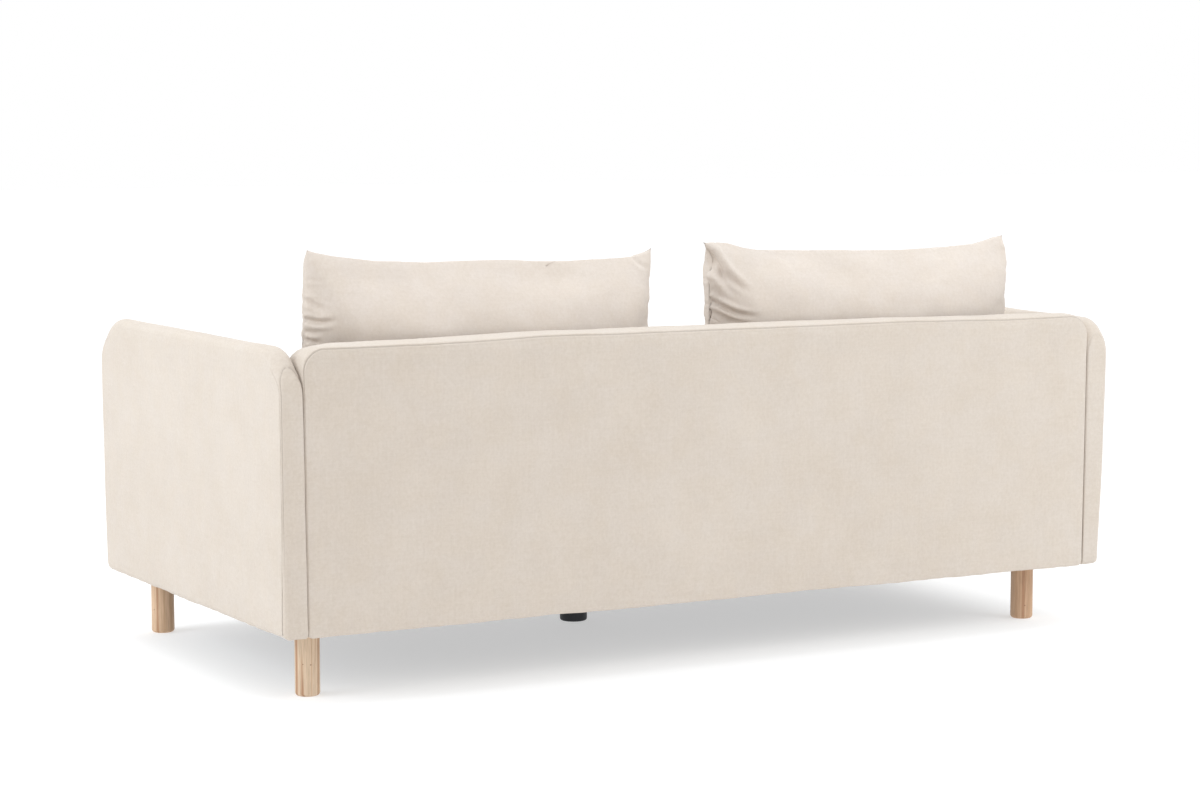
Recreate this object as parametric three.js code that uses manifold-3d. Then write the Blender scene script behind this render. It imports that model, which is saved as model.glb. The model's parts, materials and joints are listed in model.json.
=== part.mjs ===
// Two-seat sofa with slim arms, loose cushions and round wooden legs.
// Millimetres, +Z up. The sofa faces -Y, and its sitter's left is +X.
// The origin is on the floor, below the middle of the body.

import * as THREE from "three";
import { mergeVertices } from "three/addons/utils/BufferGeometryUtils.js";
import Module from "manifold-3d";

const wasm = await Module();
wasm.setup();

// ---- Driving dimensions -------------------------------------------------

const WIDTH = 1900; // over the arms
const DEPTH = 956; // front to back
const BODY_BOTTOM = 138; // floor to the underside of the body
const ARM_TOP = 671;
const BACK_TOP = 677;
const DECK_TOP = 262; // upholstered deck that the seat cushions lie on

const GAP = 0.4; // between pieces that touch
const COVER = 2; // fabric with its lining
const BOARD = 22; // planed timber of the seat base
const OVERSHOOT = 2; // how far a cutting tool runs past the face that it cuts

const ARM_THICKNESS = 45;
const ARM_FRONT_RADIUS = 102; // top front corner, seen from the side
const ARM_REAR_RADIUS = 86; // top rear corner, seen from the side
const ARM_EDGE = 18; // rounding across the thickness
const ARM_PANEL = 18; // plywood core
const ARM_FOAM = 16; // foam over the core's edges

const BACK_THICKNESS = 105;
const BACK_CORNER_RADIUS = 42;
const BACK_EDGE = 8;

const BACK_FRAME_SETBACK = 47; // padding in front of the back's timber frame
const BACK_FRAME_TOP_INSET = 32;
const BACK_FRAME_END_INSET = 24;
const BACK_FRAME_DEPTH = 40;
const BACK_RAIL_HEIGHT = 60;
const BACK_POST_WIDTH = 40;
const BACK_BOARD_THICKNESS = 3;

const MODULE_GAP = 1; // between an arm and the parts bolted to it
const BASE_FRONT_SETBACK = 8; // behind the fronts of the arms
const BASE_FRONT_RADIUS = 5;
const BASE_REAR_RADIUS = 3.5;
const RAIL_HEIGHT = 80;
const STRETCHER_WIDTH = 90;
const STRETCHER_HEIGHT = 40;
const PLATE_SIZE = 118;
const PLATE_THICKNESS = 28;
const WEBBING_THICKNESS = 1.4;
const WEBBING_PITCH = 180;
const WEBBING_OPENING = 110;
const WEBBING_COLUMNS = 9;
const WEBBING_ROWS = 4;
const DUST_COVER_HEM = 1.5; // the dust cover lies this far above the body's lower edge
const DUST_COVER_THICKNESS = 1;
const DUST_COVER_CLEARANCE = 1.5; // round each leg

const LEG_RADIUS = 24;
const LEG_EDGE = 3;
const LEG_X = 846;
const LEG_FRONT_Y = -418;
const LEG_REAR_Y = 341;
const FOOT_RADIUS = 29.5;
const FOOT_EDGE = 4;
const FOOT_X = 20;
const FOOT_Y = -112;

const BOLT_RADIUS = 4;
const BOLT_HOLE_RADIUS = 4.6;
const BOLT_HEAD_RADIUS = 9;
const BOLT_HEAD_HEIGHT = 6;
const BOLT_HEAD_CHAMFER = 2;
const BOLT_END_CHAMFER = 1;
const LEG_BORE = 45; // depth of the hole that holds a leg's stud
const STUD_RECESS = 3; // below the top of its corner plate
const ARM_BOLT_REACH = 28; // into the arm
const BACK_BOLT_COVER = 24; // thickness left behind the end of a back bolt

const SEAT_CUSHION_HEIGHT = 150;
const SEAT_CUSHION_EDGE = 24;
const SEAT_CUSHION_CORNER = 30;
const SEAT_CUSHION_CLEARANCE = 1.5;
const SEAT_CUSHION_SETBACK = 2; // behind the fronts of the arms
const SEAT_ZIP_LENGTH = 700;

const BACK_CUSHION_WIDTH = 764; // corner to corner
const BACK_CUSHION_HEIGHT = 440;
const BACK_CUSHION_THICKNESS = 200;
const BACK_CUSHION_TOP_DIP = 28; // the top seam hangs between its corners
const BACK_CUSHION_X = { left: 438, right: -444 };
const BACK_CUSHION_Y = 262;
const BACK_CUSHION_Z = 620;
const BACK_CUSHION_LEAN = 4; // degrees, top towards the back
const BACK_CUSHION_FULLNESS = 0.38; // power of the swell: lower is fuller near the seam
const BACK_ZIP_LENGTH = 520;
const ZIP_WIDTH = 8;
const ZIP_INSET = 0.2; // thinner than the cover, on each face

// ---- Places worked out from them ----------------------------------------

const FRONT = -DEPTH / 2;
const REAR = DEPTH / 2;
const ARM_X = WIDTH / 2 - ARM_THICKNESS / 2;
const INSIDE_ARM = WIDTH / 2 - ARM_THICKNESS;
const BASE_HALF = INSIDE_ARM - MODULE_GAP;
const BASE_FRONT = FRONT + BASE_FRONT_SETBACK;
const BACK_FRONT = REAR - BACK_THICKNESS;
const BASE_REAR = BACK_FRONT - MODULE_GAP;
const INSIDE_HALF = BASE_HALF - COVER - GAP; // half width of the base frame
const INSIDE_FRONT = BASE_FRONT + COVER + GAP;
const INSIDE_REAR = BASE_REAR - COVER - GAP;
const SEAT_TOP = DECK_TOP + GAP + SEAT_CUSHION_HEIGHT;
const FAR = 3000; // past the object on every side

const DUST_BOTTOM = BODY_BOTTOM + DUST_COVER_HEM;
const DUST_TOP = DUST_BOTTOM + DUST_COVER_THICKNESS;
const PLATE_BOTTOM = DUST_TOP + 2 * GAP;
const PLATE_TOP = PLATE_BOTTOM + PLATE_THICKNESS;
const RAIL_BOTTOM = PLATE_TOP + GAP;
const RAIL_TOP = RAIL_BOTTOM + RAIL_HEIGHT;
const WEBBING_BOTTOM = RAIL_TOP + GAP;
const WEBBING_TOP = WEBBING_BOTTOM + WEBBING_THICKNESS;
const LEG_TOP = PLATE_BOTTOM - GAP;
const FOAM_BOTTOM = BODY_BOTTOM + COVER / 2; // the foam and frames stay above the cover's hem
const FRAME_BOTTOM = BODY_BOTTOM + COVER;

// ---- Materials ------------------------------------------------------------

function material(color, roughness, metalness = 0) {
  return new THREE.MeshStandardMaterial({ color, roughness, metalness });
}

const FABRIC = material(0xe6dcd0, 0.95);
const CUSHION_FABRIC = material(0xeae1d6, 0.95);
const LINING = material(0x24242a, 0.95);
const PINE = material(0xe0c7a4, 0.6);
const TIMBER = material(0xd8bc8e, 0.75);
const PLYWOOD = material(0xcfae7c, 0.7);
const HARDBOARD = material(0x8a6a48, 0.8);
const FOAM = material(0xf1ead2, 1.0);
const WEBBING = material(0x2d2b30, 0.9);
const FELT = material(0x9a9a98, 1.0);
const PLASTIC = material(0x16181c, 0.6);
const NYLON = material(0xd9d0c4, 0.6);
const STEEL = material(0xb9bcc0, 0.35, 1);

// ---- Solids ---------------------------------------------------------------

function toSolid(geometry) {
  const plain = geometry.clone();
  plain.deleteAttribute("normal");
  plain.deleteAttribute("uv");
  const merged = mergeVertices(plain);
  return new wasm.Manifold(
    new wasm.Mesh({
      numProp: 3,
      vertProperties: Float32Array.from(merged.attributes.position.array),
      triVerts: Uint32Array.from(merged.index.array),
    }),
  );
}

function toGeometry(solid) {
  const mesh = solid.getMesh();
  const geometry = new THREE.BufferGeometry();
  geometry.setAttribute("position", new THREE.BufferAttribute(mesh.vertProperties, 3));
  geometry.setIndex(new THREE.BufferAttribute(mesh.triVerts, 1));
  geometry.computeVertexNormals();
  return geometry;
}

function carve(geometry, ...tools) {
  let solid = toSolid(geometry);
  for (const tool of tools) solid = solid.subtract(toSolid(tool));
  return toGeometry(solid);
}

function block([x0, x1], [y0, y1], [z0, z1]) {
  const box = new THREE.BoxGeometry(x1 - x0, y1 - y0, z1 - z0);
  return box.translate((x0 + x1) / 2, (y0 + y1) / 2, (z0 + z1) / 2);
}

function below(z) {
  return block([-FAR, FAR], [-FAR, FAR], [-FAR, z]);
}

// A slab through the middle of its thickness, its outline in local X and Y.
function slab(outline, thickness, edge = 0) {
  const depth = thickness - 2 * edge;
  const geometry = new THREE.ExtrudeGeometry(outline, {
    depth,
    curveSegments: 3,
    bevelEnabled: edge > 0,
    bevelThickness: edge,
    bevelSize: edge,
    bevelOffset: -edge,
    bevelSegments: 2,
  });
  return geometry.translate(0, 0, -depth / 2);
}

// Stands a slab up with its outline in Y and Z, its thickness along X.
function acrossX(geometry) {
  const basis = new THREE.Matrix4().makeBasis(
    new THREE.Vector3(0, 1, 0),
    new THREE.Vector3(0, 0, 1),
    new THREE.Vector3(1, 0, 0),
  );
  return geometry.applyMatrix4(basis);
}

// Stands a slab up with its outline in X and Z, its thickness along Y.
function acrossY(geometry) {
  return geometry.rotateX(Math.PI / 2);
}

// A rectangle whose two upper corners are arcs.
function archedOutline({ low, high, bottom, top, lowRadius, highRadius }) {
  const outline = new THREE.Shape();
  outline.moveTo(low, bottom);
  outline.lineTo(high, bottom);
  outline.lineTo(high, top - highRadius);
  outline.absarc(high - highRadius, top - highRadius, highRadius, 0, Math.PI / 2, false);
  outline.lineTo(low + lowRadius, top);
  outline.absarc(low + lowRadius, top - lowRadius, lowRadius, Math.PI / 2, Math.PI, false);
  outline.closePath();
  return outline;
}

function roundedRectangle(width, height, radius) {
  const x = width / 2 - radius;
  const y = height / 2 - radius;
  const outline = new THREE.Shape();
  outline.absarc(x, y, radius, 0, Math.PI / 2, false);
  outline.absarc(-x, y, radius, Math.PI / 2, Math.PI, false);
  outline.absarc(-x, -y, radius, Math.PI, Math.PI * 1.5, false);
  outline.absarc(x, -y, radius, Math.PI * 1.5, Math.PI * 2, false);
  outline.closePath();
  return outline;
}

// Turned round its own Y axis, then laid along an axis from a start point.
function turned(profile, start, axis, sides) {
  const points = profile.map(([radius, along]) => new THREE.Vector2(radius, along));
  const geometry = new THREE.LatheGeometry(points, sides);
  const turn = new THREE.Quaternion().setFromUnitVectors(new THREE.Vector3(0, 1, 0), axis);
  return geometry.applyQuaternion(turn).translate(...start);
}

function hole(start, axis, length, radius = BOLT_HOLE_RADIUS, sides = 12) {
  const profile = [
    [0, 0],
    [radius, 0],
    [radius, length],
    [0, length],
  ];
  return turned(profile, start, axis, sides);
}

function bolt(start, axis, length) {
  const profile = [
    [0, -BOLT_HEAD_HEIGHT],
    [BOLT_HEAD_RADIUS - BOLT_HEAD_CHAMFER, -BOLT_HEAD_HEIGHT],
    [BOLT_HEAD_RADIUS, -BOLT_HEAD_HEIGHT + BOLT_HEAD_CHAMFER],
    [BOLT_HEAD_RADIUS, 0],
    [BOLT_RADIUS, 0],
    [BOLT_RADIUS, length - BOLT_END_CHAMFER],
    [BOLT_RADIUS - BOLT_END_CHAMFER, length],
    [0, length],
  ];
  return turned(profile, start, axis, 12);
}

function stud(start, length) {
  const profile = [
    [0, 0],
    [BOLT_RADIUS - BOLT_END_CHAMFER, 0],
    [BOLT_RADIUS, BOLT_END_CHAMFER],
    [BOLT_RADIUS, length - BOLT_END_CHAMFER],
    [BOLT_RADIUS - BOLT_END_CHAMFER, length],
    [0, length],
  ];
  return turned(profile, start, UP, 12);
}

const UP = new THREE.Vector3(0, 0, 1);
const BACKWARDS = new THREE.Vector3(0, 1, 0);

function outwards(side) {
  return new THREE.Vector3(side, 0, 0);
}

const sofa = new THREE.Group();

function add(name, geometry, look, x = 0, y = 0, z = 0) {
  const mesh = new THREE.Mesh(geometry, look);
  mesh.name = name;
  mesh.position.set(x, y, z);
  sofa.add(mesh);
  return mesh;
}

const SIDES = { left: 1, right: -1 };
const POST_SIDES = 16;

// ---- Bolt places ------------------------------------------------------------

const ARM_BOLT_Z = 212;
const ARM_BOLT_Y = { front: -300, rear: 210 };
const ARM_BOLT_END = INSIDE_ARM + ARM_BOLT_REACH;
const BACK_BOLT_Z = 186;
const BACK_BOLT_X = 500;
const BACK_BOLT_END = REAR - BACK_BOLT_COVER;
const RAIL_INNER_X = INSIDE_HALF - BOARD;
const RAIL_INNER_REAR = INSIDE_REAR - BOARD;

function armBoltHoles(side, shift = 0) {
  const length = ARM_BOLT_END - RAIL_INNER_X + 2 * OVERSHOOT;
  return Object.values(ARM_BOLT_Y).map((y) =>
    hole([side * (RAIL_INNER_X - OVERSHOOT) - shift, y, ARM_BOLT_Z], outwards(side), length),
  );
}

function backBoltHoles() {
  const length = BACK_BOLT_END - RAIL_INNER_REAR + 2 * OVERSHOOT;
  return Object.values(SIDES).map((side) =>
    hole([side * BACK_BOLT_X, RAIL_INNER_REAR - OVERSHOOT, BACK_BOLT_Z], BACKWARDS, length),
  );
}

// ---- Seat base ----------------------------------------------------------------

const LEG_PLACES = {
  front_left: [LEG_X, LEG_FRONT_Y],
  front_right: [-LEG_X, LEG_FRONT_Y],
  rear_left: [LEG_X, LEG_REAR_Y],
  rear_right: [-LEG_X, LEG_REAR_Y],
};

function seatRails() {
  const height = [RAIL_BOTTOM, RAIL_TOP];
  const full = [-INSIDE_HALF, INSIDE_HALF];
  const front = [INSIDE_FRONT, INSIDE_FRONT + BOARD];
  const rear = [RAIL_INNER_REAR, INSIDE_REAR];
  const between = [front[1] + GAP, rear[0] - GAP];
  add("seat_front_rail", block(full, front, height), TIMBER);
  add("seat_rear_rail", carve(block(full, rear, height), ...backBoltHoles()), TIMBER);
  for (const [name, side] of Object.entries(SIDES)) {
    const across = [side * RAIL_INNER_X, side * INSIDE_HALF].sort((a, b) => a - b);
    const rail = carve(block(across, between, height), ...armBoltHoles(side));
    add(`seat_${name}_rail`, rail, TIMBER);
  }
  const across = [-STRETCHER_WIDTH / 2, STRETCHER_WIDTH / 2];
  const stretcher = block(across, between, [PLATE_BOTTOM, PLATE_BOTTOM + STRETCHER_HEIGHT]);
  const footStart = [FOOT_X, FOOT_Y, PLATE_BOTTOM - OVERSHOOT];
  const footHole = hole(footStart, UP, PLATE_THICKNESS + 2 * OVERSHOOT);
  add("seat_centre_stretcher", carve(stretcher, footHole), TIMBER);
}

function cornerPlates() {
  for (const [name, [x, y]] of Object.entries(LEG_PLACES)) {
    const across = [Math.sign(x) * (INSIDE_HALF - PLATE_SIZE), Math.sign(x) * INSIDE_HALF];
    const start = y < 0 ? INSIDE_FRONT : INSIDE_REAR - PLATE_SIZE;
    const along = [start, start + PLATE_SIZE];
    const plate = block(across.sort((a, b) => a - b), along, [PLATE_BOTTOM, PLATE_TOP]);
    const boltHole = hole([x, y, PLATE_BOTTOM - OVERSHOOT], UP, PLATE_THICKNESS + 2 * OVERSHOOT);
    add(`corner_plate_${name}`, carve(plate, boltHole), PLYWOOD);
  }
}

// Elastic straps woven both ways lie on each other, so they are one flat grid.
function webbing() {
  const middle = (INSIDE_FRONT + INSIDE_REAR) / 2;
  const height = [WEBBING_BOTTOM, WEBBING_TOP];
  const gaps = [];
  for (let column = 0; column < WEBBING_COLUMNS; column += 1) {
    for (let row = 0; row < WEBBING_ROWS; row += 1) {
      const x = (column - (WEBBING_COLUMNS - 1) / 2) * WEBBING_PITCH;
      const y = middle + (row - (WEBBING_ROWS - 1) / 2) * WEBBING_PITCH;
      const across = [x - WEBBING_OPENING / 2, x + WEBBING_OPENING / 2];
      const along = [y - WEBBING_OPENING / 2, y + WEBBING_OPENING / 2];
      gaps.push(block(across, along, [WEBBING_BOTTOM - OVERSHOOT, WEBBING_TOP + OVERSHOOT]));
    }
  }
  const sheet = block([-INSIDE_HALF, INSIDE_HALF], [INSIDE_FRONT, INSIDE_REAR], height);
  add("seat_webbing", carve(sheet, ...gaps), WEBBING);
}

function seatCovers() {
  const padBottom = WEBBING_TOP + GAP;
  const across = [-INSIDE_HALF, INSIDE_HALF];
  const along = [INSIDE_FRONT, INSIDE_REAR];
  add("seat_deck_pad", block(across, along, [padBottom, DECK_TOP - COVER - GAP]), FELT);

  const outline = archedOutline({
    low: BASE_FRONT,
    high: BASE_REAR,
    bottom: BODY_BOTTOM,
    top: DECK_TOP,
    lowRadius: BASE_FRONT_RADIUS,
    highRadius: BASE_REAR_RADIUS,
  });
  const hollow = block(
    [-BASE_HALF + COVER, BASE_HALF - COVER],
    [BASE_FRONT + COVER, BASE_REAR - COVER],
    [0, DECK_TOP - COVER],
  );
  const shell = acrossX(slab(outline, 2 * BASE_HALF));
  const holes = [...armBoltHoles(1), ...armBoltHoles(-1), ...backBoltHoles()];
  add("seat_base_cover", carve(shell, hollow, ...holes), FABRIC);

  const sheet = block(across, along, [DUST_BOTTOM, DUST_TOP]);
  const height = DUST_COVER_THICKNESS + 2 * OVERSHOOT;
  const legHoles = Object.values(LEG_PLACES).map(([x, y]) => {
    const start = [x, y, DUST_BOTTOM - OVERSHOOT];
    return hole(start, UP, height, LEG_RADIUS + DUST_COVER_CLEARANCE, POST_SIDES);
  });
  const footStart = [FOOT_X, FOOT_Y, DUST_BOTTOM - OVERSHOOT];
  const footHole = hole(footStart, UP, height, FOOT_RADIUS + DUST_COVER_CLEARANCE, POST_SIDES);
  add("dust_cover", carve(sheet, ...legHoles, footHole), LINING);
}

// ---- Legs and centre foot -------------------------------------------------------

// A post that stands on the floor, with a blind hole in its top for a stud.
function post(radius, edge) {
  const midEdge = edge * (1 - Math.SQRT1_2); // halfway round the lower edge
  const profile = [
    [0, 0],
    [radius - edge, 0],
    [radius - midEdge, midEdge],
    [radius, edge],
    [radius, LEG_TOP],
    [BOLT_HOLE_RADIUS, LEG_TOP],
    [BOLT_HOLE_RADIUS, LEG_TOP - LEG_BORE],
    [0, LEG_TOP - LEG_BORE],
  ];
  return turned(profile, [0, 0, 0], UP, POST_SIDES);
}

function legs() {
  const start = [0, 0, LEG_TOP - LEG_BORE + GAP];
  const length = PLATE_TOP - STUD_RECESS - start[2];
  for (const [name, [x, y]] of Object.entries(LEG_PLACES)) {
    add(`leg_${name}`, post(LEG_RADIUS, LEG_EDGE), PINE, x, y);
    add(`leg_bolt_${name}`, stud(start, length), STEEL, x, y);
  }
  add("centre_foot", post(FOOT_RADIUS, FOOT_EDGE), PLASTIC, FOOT_X, FOOT_Y);
  add("centre_foot_bolt", stud(start, length), STEEL, FOOT_X, FOOT_Y);
}

// ---- Arms -------------------------------------------------------------------------

function armSlab(inset, thickness, edge, bottom) {
  const outline = archedOutline({
    low: FRONT + inset,
    high: REAR - inset,
    bottom: BODY_BOTTOM - 2 * ARM_EDGE,
    top: ARM_TOP - inset,
    lowRadius: ARM_FRONT_RADIUS - inset,
    highRadius: ARM_REAR_RADIUS - inset,
  });
  return carve(acrossX(slab(outline, thickness, edge)), below(bottom));
}

function arms() {
  const foamInset = COVER + GAP;
  const panelInset = foamInset + ARM_FOAM;
  for (const [name, side] of Object.entries(SIDES)) {
    const x = side * ARM_X;
    const holes = armBoltHoles(side, x);
    const outer = armSlab(0, ARM_THICKNESS, ARM_EDGE, BODY_BOTTOM);
    const hollow = armSlab(COVER, ARM_THICKNESS - 2 * COVER, ARM_EDGE - COVER, 0);
    add(`arm_${name}_cover`, carve(outer, hollow, ...holes), FABRIC, x);

    const foamEdge = ARM_EDGE - foamInset;
    const foam = armSlab(foamInset, ARM_THICKNESS - 2 * foamInset, foamEdge, FOAM_BOTTOM);
    const pocket = armSlab(panelInset - GAP, ARM_PANEL + 2 * GAP, 0, 0);
    add(`arm_${name}_foam`, carve(foam, pocket, ...holes), FOAM, x);

    const panel = armSlab(panelInset, ARM_PANEL, 0, FRAME_BOTTOM);
    add(`arm_${name}_panel`, carve(panel, ...holes), PLYWOOD, x);

    for (const [end, y] of Object.entries(ARM_BOLT_Y)) {
      const start = [side * (RAIL_INNER_X - GAP), y, ARM_BOLT_Z];
      const length = ARM_BOLT_END - RAIL_INNER_X;
      add(`arm_bolt_${end}_${name}`, bolt(start, outwards(side), length), STEEL);
    }
  }
}

// ---- Back ---------------------------------------------------------------------------

function backSlab(inset, edge, bottom) {
  const outline = archedOutline({
    low: -BASE_HALF + inset,
    high: BASE_HALF - inset,
    bottom: BODY_BOTTOM - 2 * BACK_EDGE,
    top: BACK_TOP - inset,
    lowRadius: BACK_CORNER_RADIUS - inset,
    highRadius: BACK_CORNER_RADIUS - inset,
  });
  const geometry = acrossY(slab(outline, BACK_THICKNESS - 2 * inset, edge));
  return carve(geometry.translate(0, REAR - BACK_THICKNESS / 2, 0), below(bottom));
}

function back() {
  const holes = backBoltHoles();
  const outer = backSlab(0, BACK_EDGE, BODY_BOTTOM);
  const hollow = backSlab(COVER, BACK_EDGE - COVER, 0);
  add("back_cover", carve(outer, hollow, ...holes), FABRIC);

  const halfWidth = BASE_HALF - BACK_FRAME_END_INSET;
  const frameFront = BACK_FRONT + BACK_FRAME_SETBACK;
  const frameRear = frameFront + BACK_FRAME_DEPTH;
  const boardRear = frameRear + GAP + BACK_BOARD_THICKNESS;
  const top = BACK_TOP - BACK_FRAME_TOP_INSET;
  const foamInset = COVER + GAP;
  const foam = backSlab(foamInset, BACK_EDGE - foamInset, FOAM_BOTTOM);
  const pocket = block(
    [-halfWidth - GAP, halfWidth + GAP],
    [frameFront - GAP, boardRear + GAP],
    [0, top + GAP],
  );
  add("back_foam", carve(foam, pocket, ...holes), FOAM);

  const across = [-halfWidth, halfWidth];
  const along = [frameFront, frameRear];
  const bottomRail = block(across, along, [FRAME_BOTTOM, FRAME_BOTTOM + BACK_RAIL_HEIGHT]);
  add("back_bottom_rail", carve(bottomRail, ...holes), TIMBER);
  add("back_top_rail", block(across, along, [top - BACK_RAIL_HEIGHT, top]), TIMBER);
  const postHeight = [FRAME_BOTTOM + BACK_RAIL_HEIGHT + GAP, top - BACK_RAIL_HEIGHT - GAP];
  const outerPost = halfWidth - BACK_POST_WIDTH / 2;
  const postPlaces = { left: outerPost, centre: 0, right: -outerPost };
  for (const [name, x] of Object.entries(postPlaces)) {
    const width = [x - BACK_POST_WIDTH / 2, x + BACK_POST_WIDTH / 2];
    add(`back_${name}_post`, block(width, along, postHeight), TIMBER);
  }
  add("back_board", block(across, [frameRear + GAP, boardRear], [FRAME_BOTTOM, top]), HARDBOARD);

  for (const [name, side] of Object.entries(SIDES)) {
    const start = [side * BACK_BOLT_X, RAIL_INNER_REAR - GAP, BACK_BOLT_Z];
    const length = BACK_BOLT_END - RAIL_INNER_REAR;
    add(`back_bolt_${name}`, bolt(start, BACKWARDS, length), STEEL);
  }
}

// ---- Seat cushions --------------------------------------------------------------------

const SEAT_CUSHION_WIDTH = INSIDE_ARM - 2 * SEAT_CUSHION_CLEARANCE;
const SEAT_CUSHION_FRONT = FRONT + SEAT_CUSHION_SETBACK;
const SEAT_CUSHION_DEPTH = BACK_FRONT - MODULE_GAP - SEAT_CUSHION_FRONT;

function seatPad(inset) {
  const outline = roundedRectangle(
    SEAT_CUSHION_WIDTH - 2 * inset,
    SEAT_CUSHION_DEPTH - 2 * inset,
    SEAT_CUSHION_CORNER - inset,
  );
  return slab(outline, SEAT_CUSHION_HEIGHT - 2 * inset, SEAT_CUSHION_EDGE - inset);
}

function seatCushions() {
  const rear = SEAT_CUSHION_DEPTH / 2;
  const y = SEAT_CUSHION_FRONT + SEAT_CUSHION_DEPTH / 2;
  const z = DECK_TOP + GAP + SEAT_CUSHION_HEIGHT / 2;
  for (const [name, side] of Object.entries(SIDES)) {
    const x = side * (INSIDE_ARM / 2);
    const slit = block(
      [-SEAT_ZIP_LENGTH / 2, SEAT_ZIP_LENGTH / 2],
      [rear - 2 * COVER, rear + COVER],
      [-ZIP_WIDTH / 2, ZIP_WIDTH / 2],
    );
    const cover = carve(seatPad(0), seatPad(COVER), slit);
    add(`seat_cushion_cover_${name}`, cover, CUSHION_FABRIC, x, y, z);
    add(`seat_cushion_core_${name}`, seatPad(COVER + GAP), FOAM, x, y, z);
    const zip = block(
      [-SEAT_ZIP_LENGTH / 2 + GAP, SEAT_ZIP_LENGTH / 2 - GAP],
      [rear - COVER + ZIP_INSET, rear - ZIP_INSET],
      [-ZIP_WIDTH / 2 + GAP, ZIP_WIDTH / 2 - GAP],
    );
    add(`seat_cushion_zip_${name}`, zip, NYLON, x, y, z);
  }
}

// ---- Back cushions ----------------------------------------------------------------------

// A pillow of two panels that meet in one seam all round: thick in its middle,
// thin at its edges, with its top seam hanging between the two corners.
function pillow(inset) {
  const columns = 10;
  const rows = 6;
  const halfWidth = BACK_CUSHION_WIDTH / 2 - 2 * inset;
  const halfHeight = BACK_CUSHION_HEIGHT / 2 - 2 * inset;
  const halfThickness = BACK_CUSHION_THICKNESS / 2 - inset;
  const points = [];
  const faces = [];
  for (const face of [-1, 1]) {
    const first = points.length / 3;
    for (let row = 0; row <= rows; row += 1) {
      for (let column = 0; column <= columns; column += 1) {
        const u = Math.sin((column / columns - 0.5) * Math.PI);
        const v = Math.sin((row / rows - 0.5) * Math.PI);
        const fullness = Math.max(0, (1 - u * u) * (1 - v * v)) ** BACK_CUSHION_FULLNESS;
        const dip = v > 0 ? BACK_CUSHION_TOP_DIP * v * v * (1 - u ** 4) : 0;
        points.push(u * halfWidth, face * fullness * halfThickness, v * halfHeight - dip);
      }
    }
    for (let row = 0; row < rows; row += 1) {
      for (let column = 0; column < columns; column += 1) {
        const a = first + row * (columns + 1) + column;
        const b = a + 1;
        const c = a + columns + 1;
        const d = c + 1;
        if (face < 0) faces.push(a, b, d, a, d, c);
        else faces.push(a, d, b, a, c, d);
      }
    }
  }
  const geometry = new THREE.BufferGeometry();
  geometry.setAttribute("position", new THREE.Float32BufferAttribute(points, 3));
  geometry.setIndex(faces);
  return mergeVertices(geometry).rotateX(THREE.MathUtils.degToRad(-BACK_CUSHION_LEAN));
}

function backCushions() {
  // The underside lies flat on the seat cushion; heights here are local.
  const flat = SEAT_TOP + GAP - BACK_CUSHION_Z;
  const flatY = flat * Math.sin(THREE.MathUtils.degToRad(BACK_CUSHION_LEAN));
  const outer = carve(pillow(0), below(flat));
  const hollow = carve(pillow(2 * COVER), below(flat + COVER));
  const slit = block(
    [-BACK_ZIP_LENGTH / 2, BACK_ZIP_LENGTH / 2],
    [flatY - ZIP_WIDTH / 2, flatY + ZIP_WIDTH / 2],
    [flat - COVER, flat + 2 * COVER],
  );
  for (const [name, x] of Object.entries(BACK_CUSHION_X)) {
    const place = [x, BACK_CUSHION_Y, BACK_CUSHION_Z];
    add(`back_cushion_cover_${name}`, carve(outer, hollow, slit), CUSHION_FABRIC, ...place);
    const core = carve(pillow(3 * COVER), below(flat + COVER + GAP));
    add(`back_cushion_core_${name}`, core, FOAM, ...place);
    const zip = block(
      [-BACK_ZIP_LENGTH / 2 + GAP, BACK_ZIP_LENGTH / 2 - GAP],
      [flatY - ZIP_WIDTH / 2 + GAP, flatY + ZIP_WIDTH / 2 - GAP],
      [flat + ZIP_INSET, flat + COVER - ZIP_INSET],
    );
    add(`back_cushion_zip_${name}`, zip, NYLON, ...place);
  }
}

seatRails();
cornerPlates();
webbing();
seatCovers();
legs();
arms();
back();
seatCushions();
backCushions();

export default sofa;
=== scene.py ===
"""Two-seat sofa with slim arms, loose cushions and round wooden legs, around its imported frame.

Metres, +Z up. The sofa faces -Y and its sitter's left is +X.
"""

import json
import math

import bmesh
import bpy
import numpy as np
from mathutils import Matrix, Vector, noise
from mathutils.kdtree import KDTree


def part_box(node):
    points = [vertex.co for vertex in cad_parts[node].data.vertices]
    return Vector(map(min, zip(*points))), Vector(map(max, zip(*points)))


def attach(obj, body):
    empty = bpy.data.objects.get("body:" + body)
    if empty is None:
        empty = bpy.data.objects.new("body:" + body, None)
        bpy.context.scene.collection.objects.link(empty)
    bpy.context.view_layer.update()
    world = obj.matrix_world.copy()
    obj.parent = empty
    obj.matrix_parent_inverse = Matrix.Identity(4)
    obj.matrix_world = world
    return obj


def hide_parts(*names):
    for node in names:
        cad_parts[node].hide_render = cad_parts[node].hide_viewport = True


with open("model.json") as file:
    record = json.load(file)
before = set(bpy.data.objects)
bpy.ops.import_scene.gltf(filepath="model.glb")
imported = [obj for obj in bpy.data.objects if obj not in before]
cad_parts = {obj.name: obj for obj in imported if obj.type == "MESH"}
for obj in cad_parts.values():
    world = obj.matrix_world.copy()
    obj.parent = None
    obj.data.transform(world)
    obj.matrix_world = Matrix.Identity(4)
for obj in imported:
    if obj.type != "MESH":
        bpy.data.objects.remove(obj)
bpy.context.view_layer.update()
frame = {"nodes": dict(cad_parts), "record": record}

SIDES = {"left": 1, "right": -1}
MM = 0.001

# ---- Camera ------------------------------------------------------------------

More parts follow.
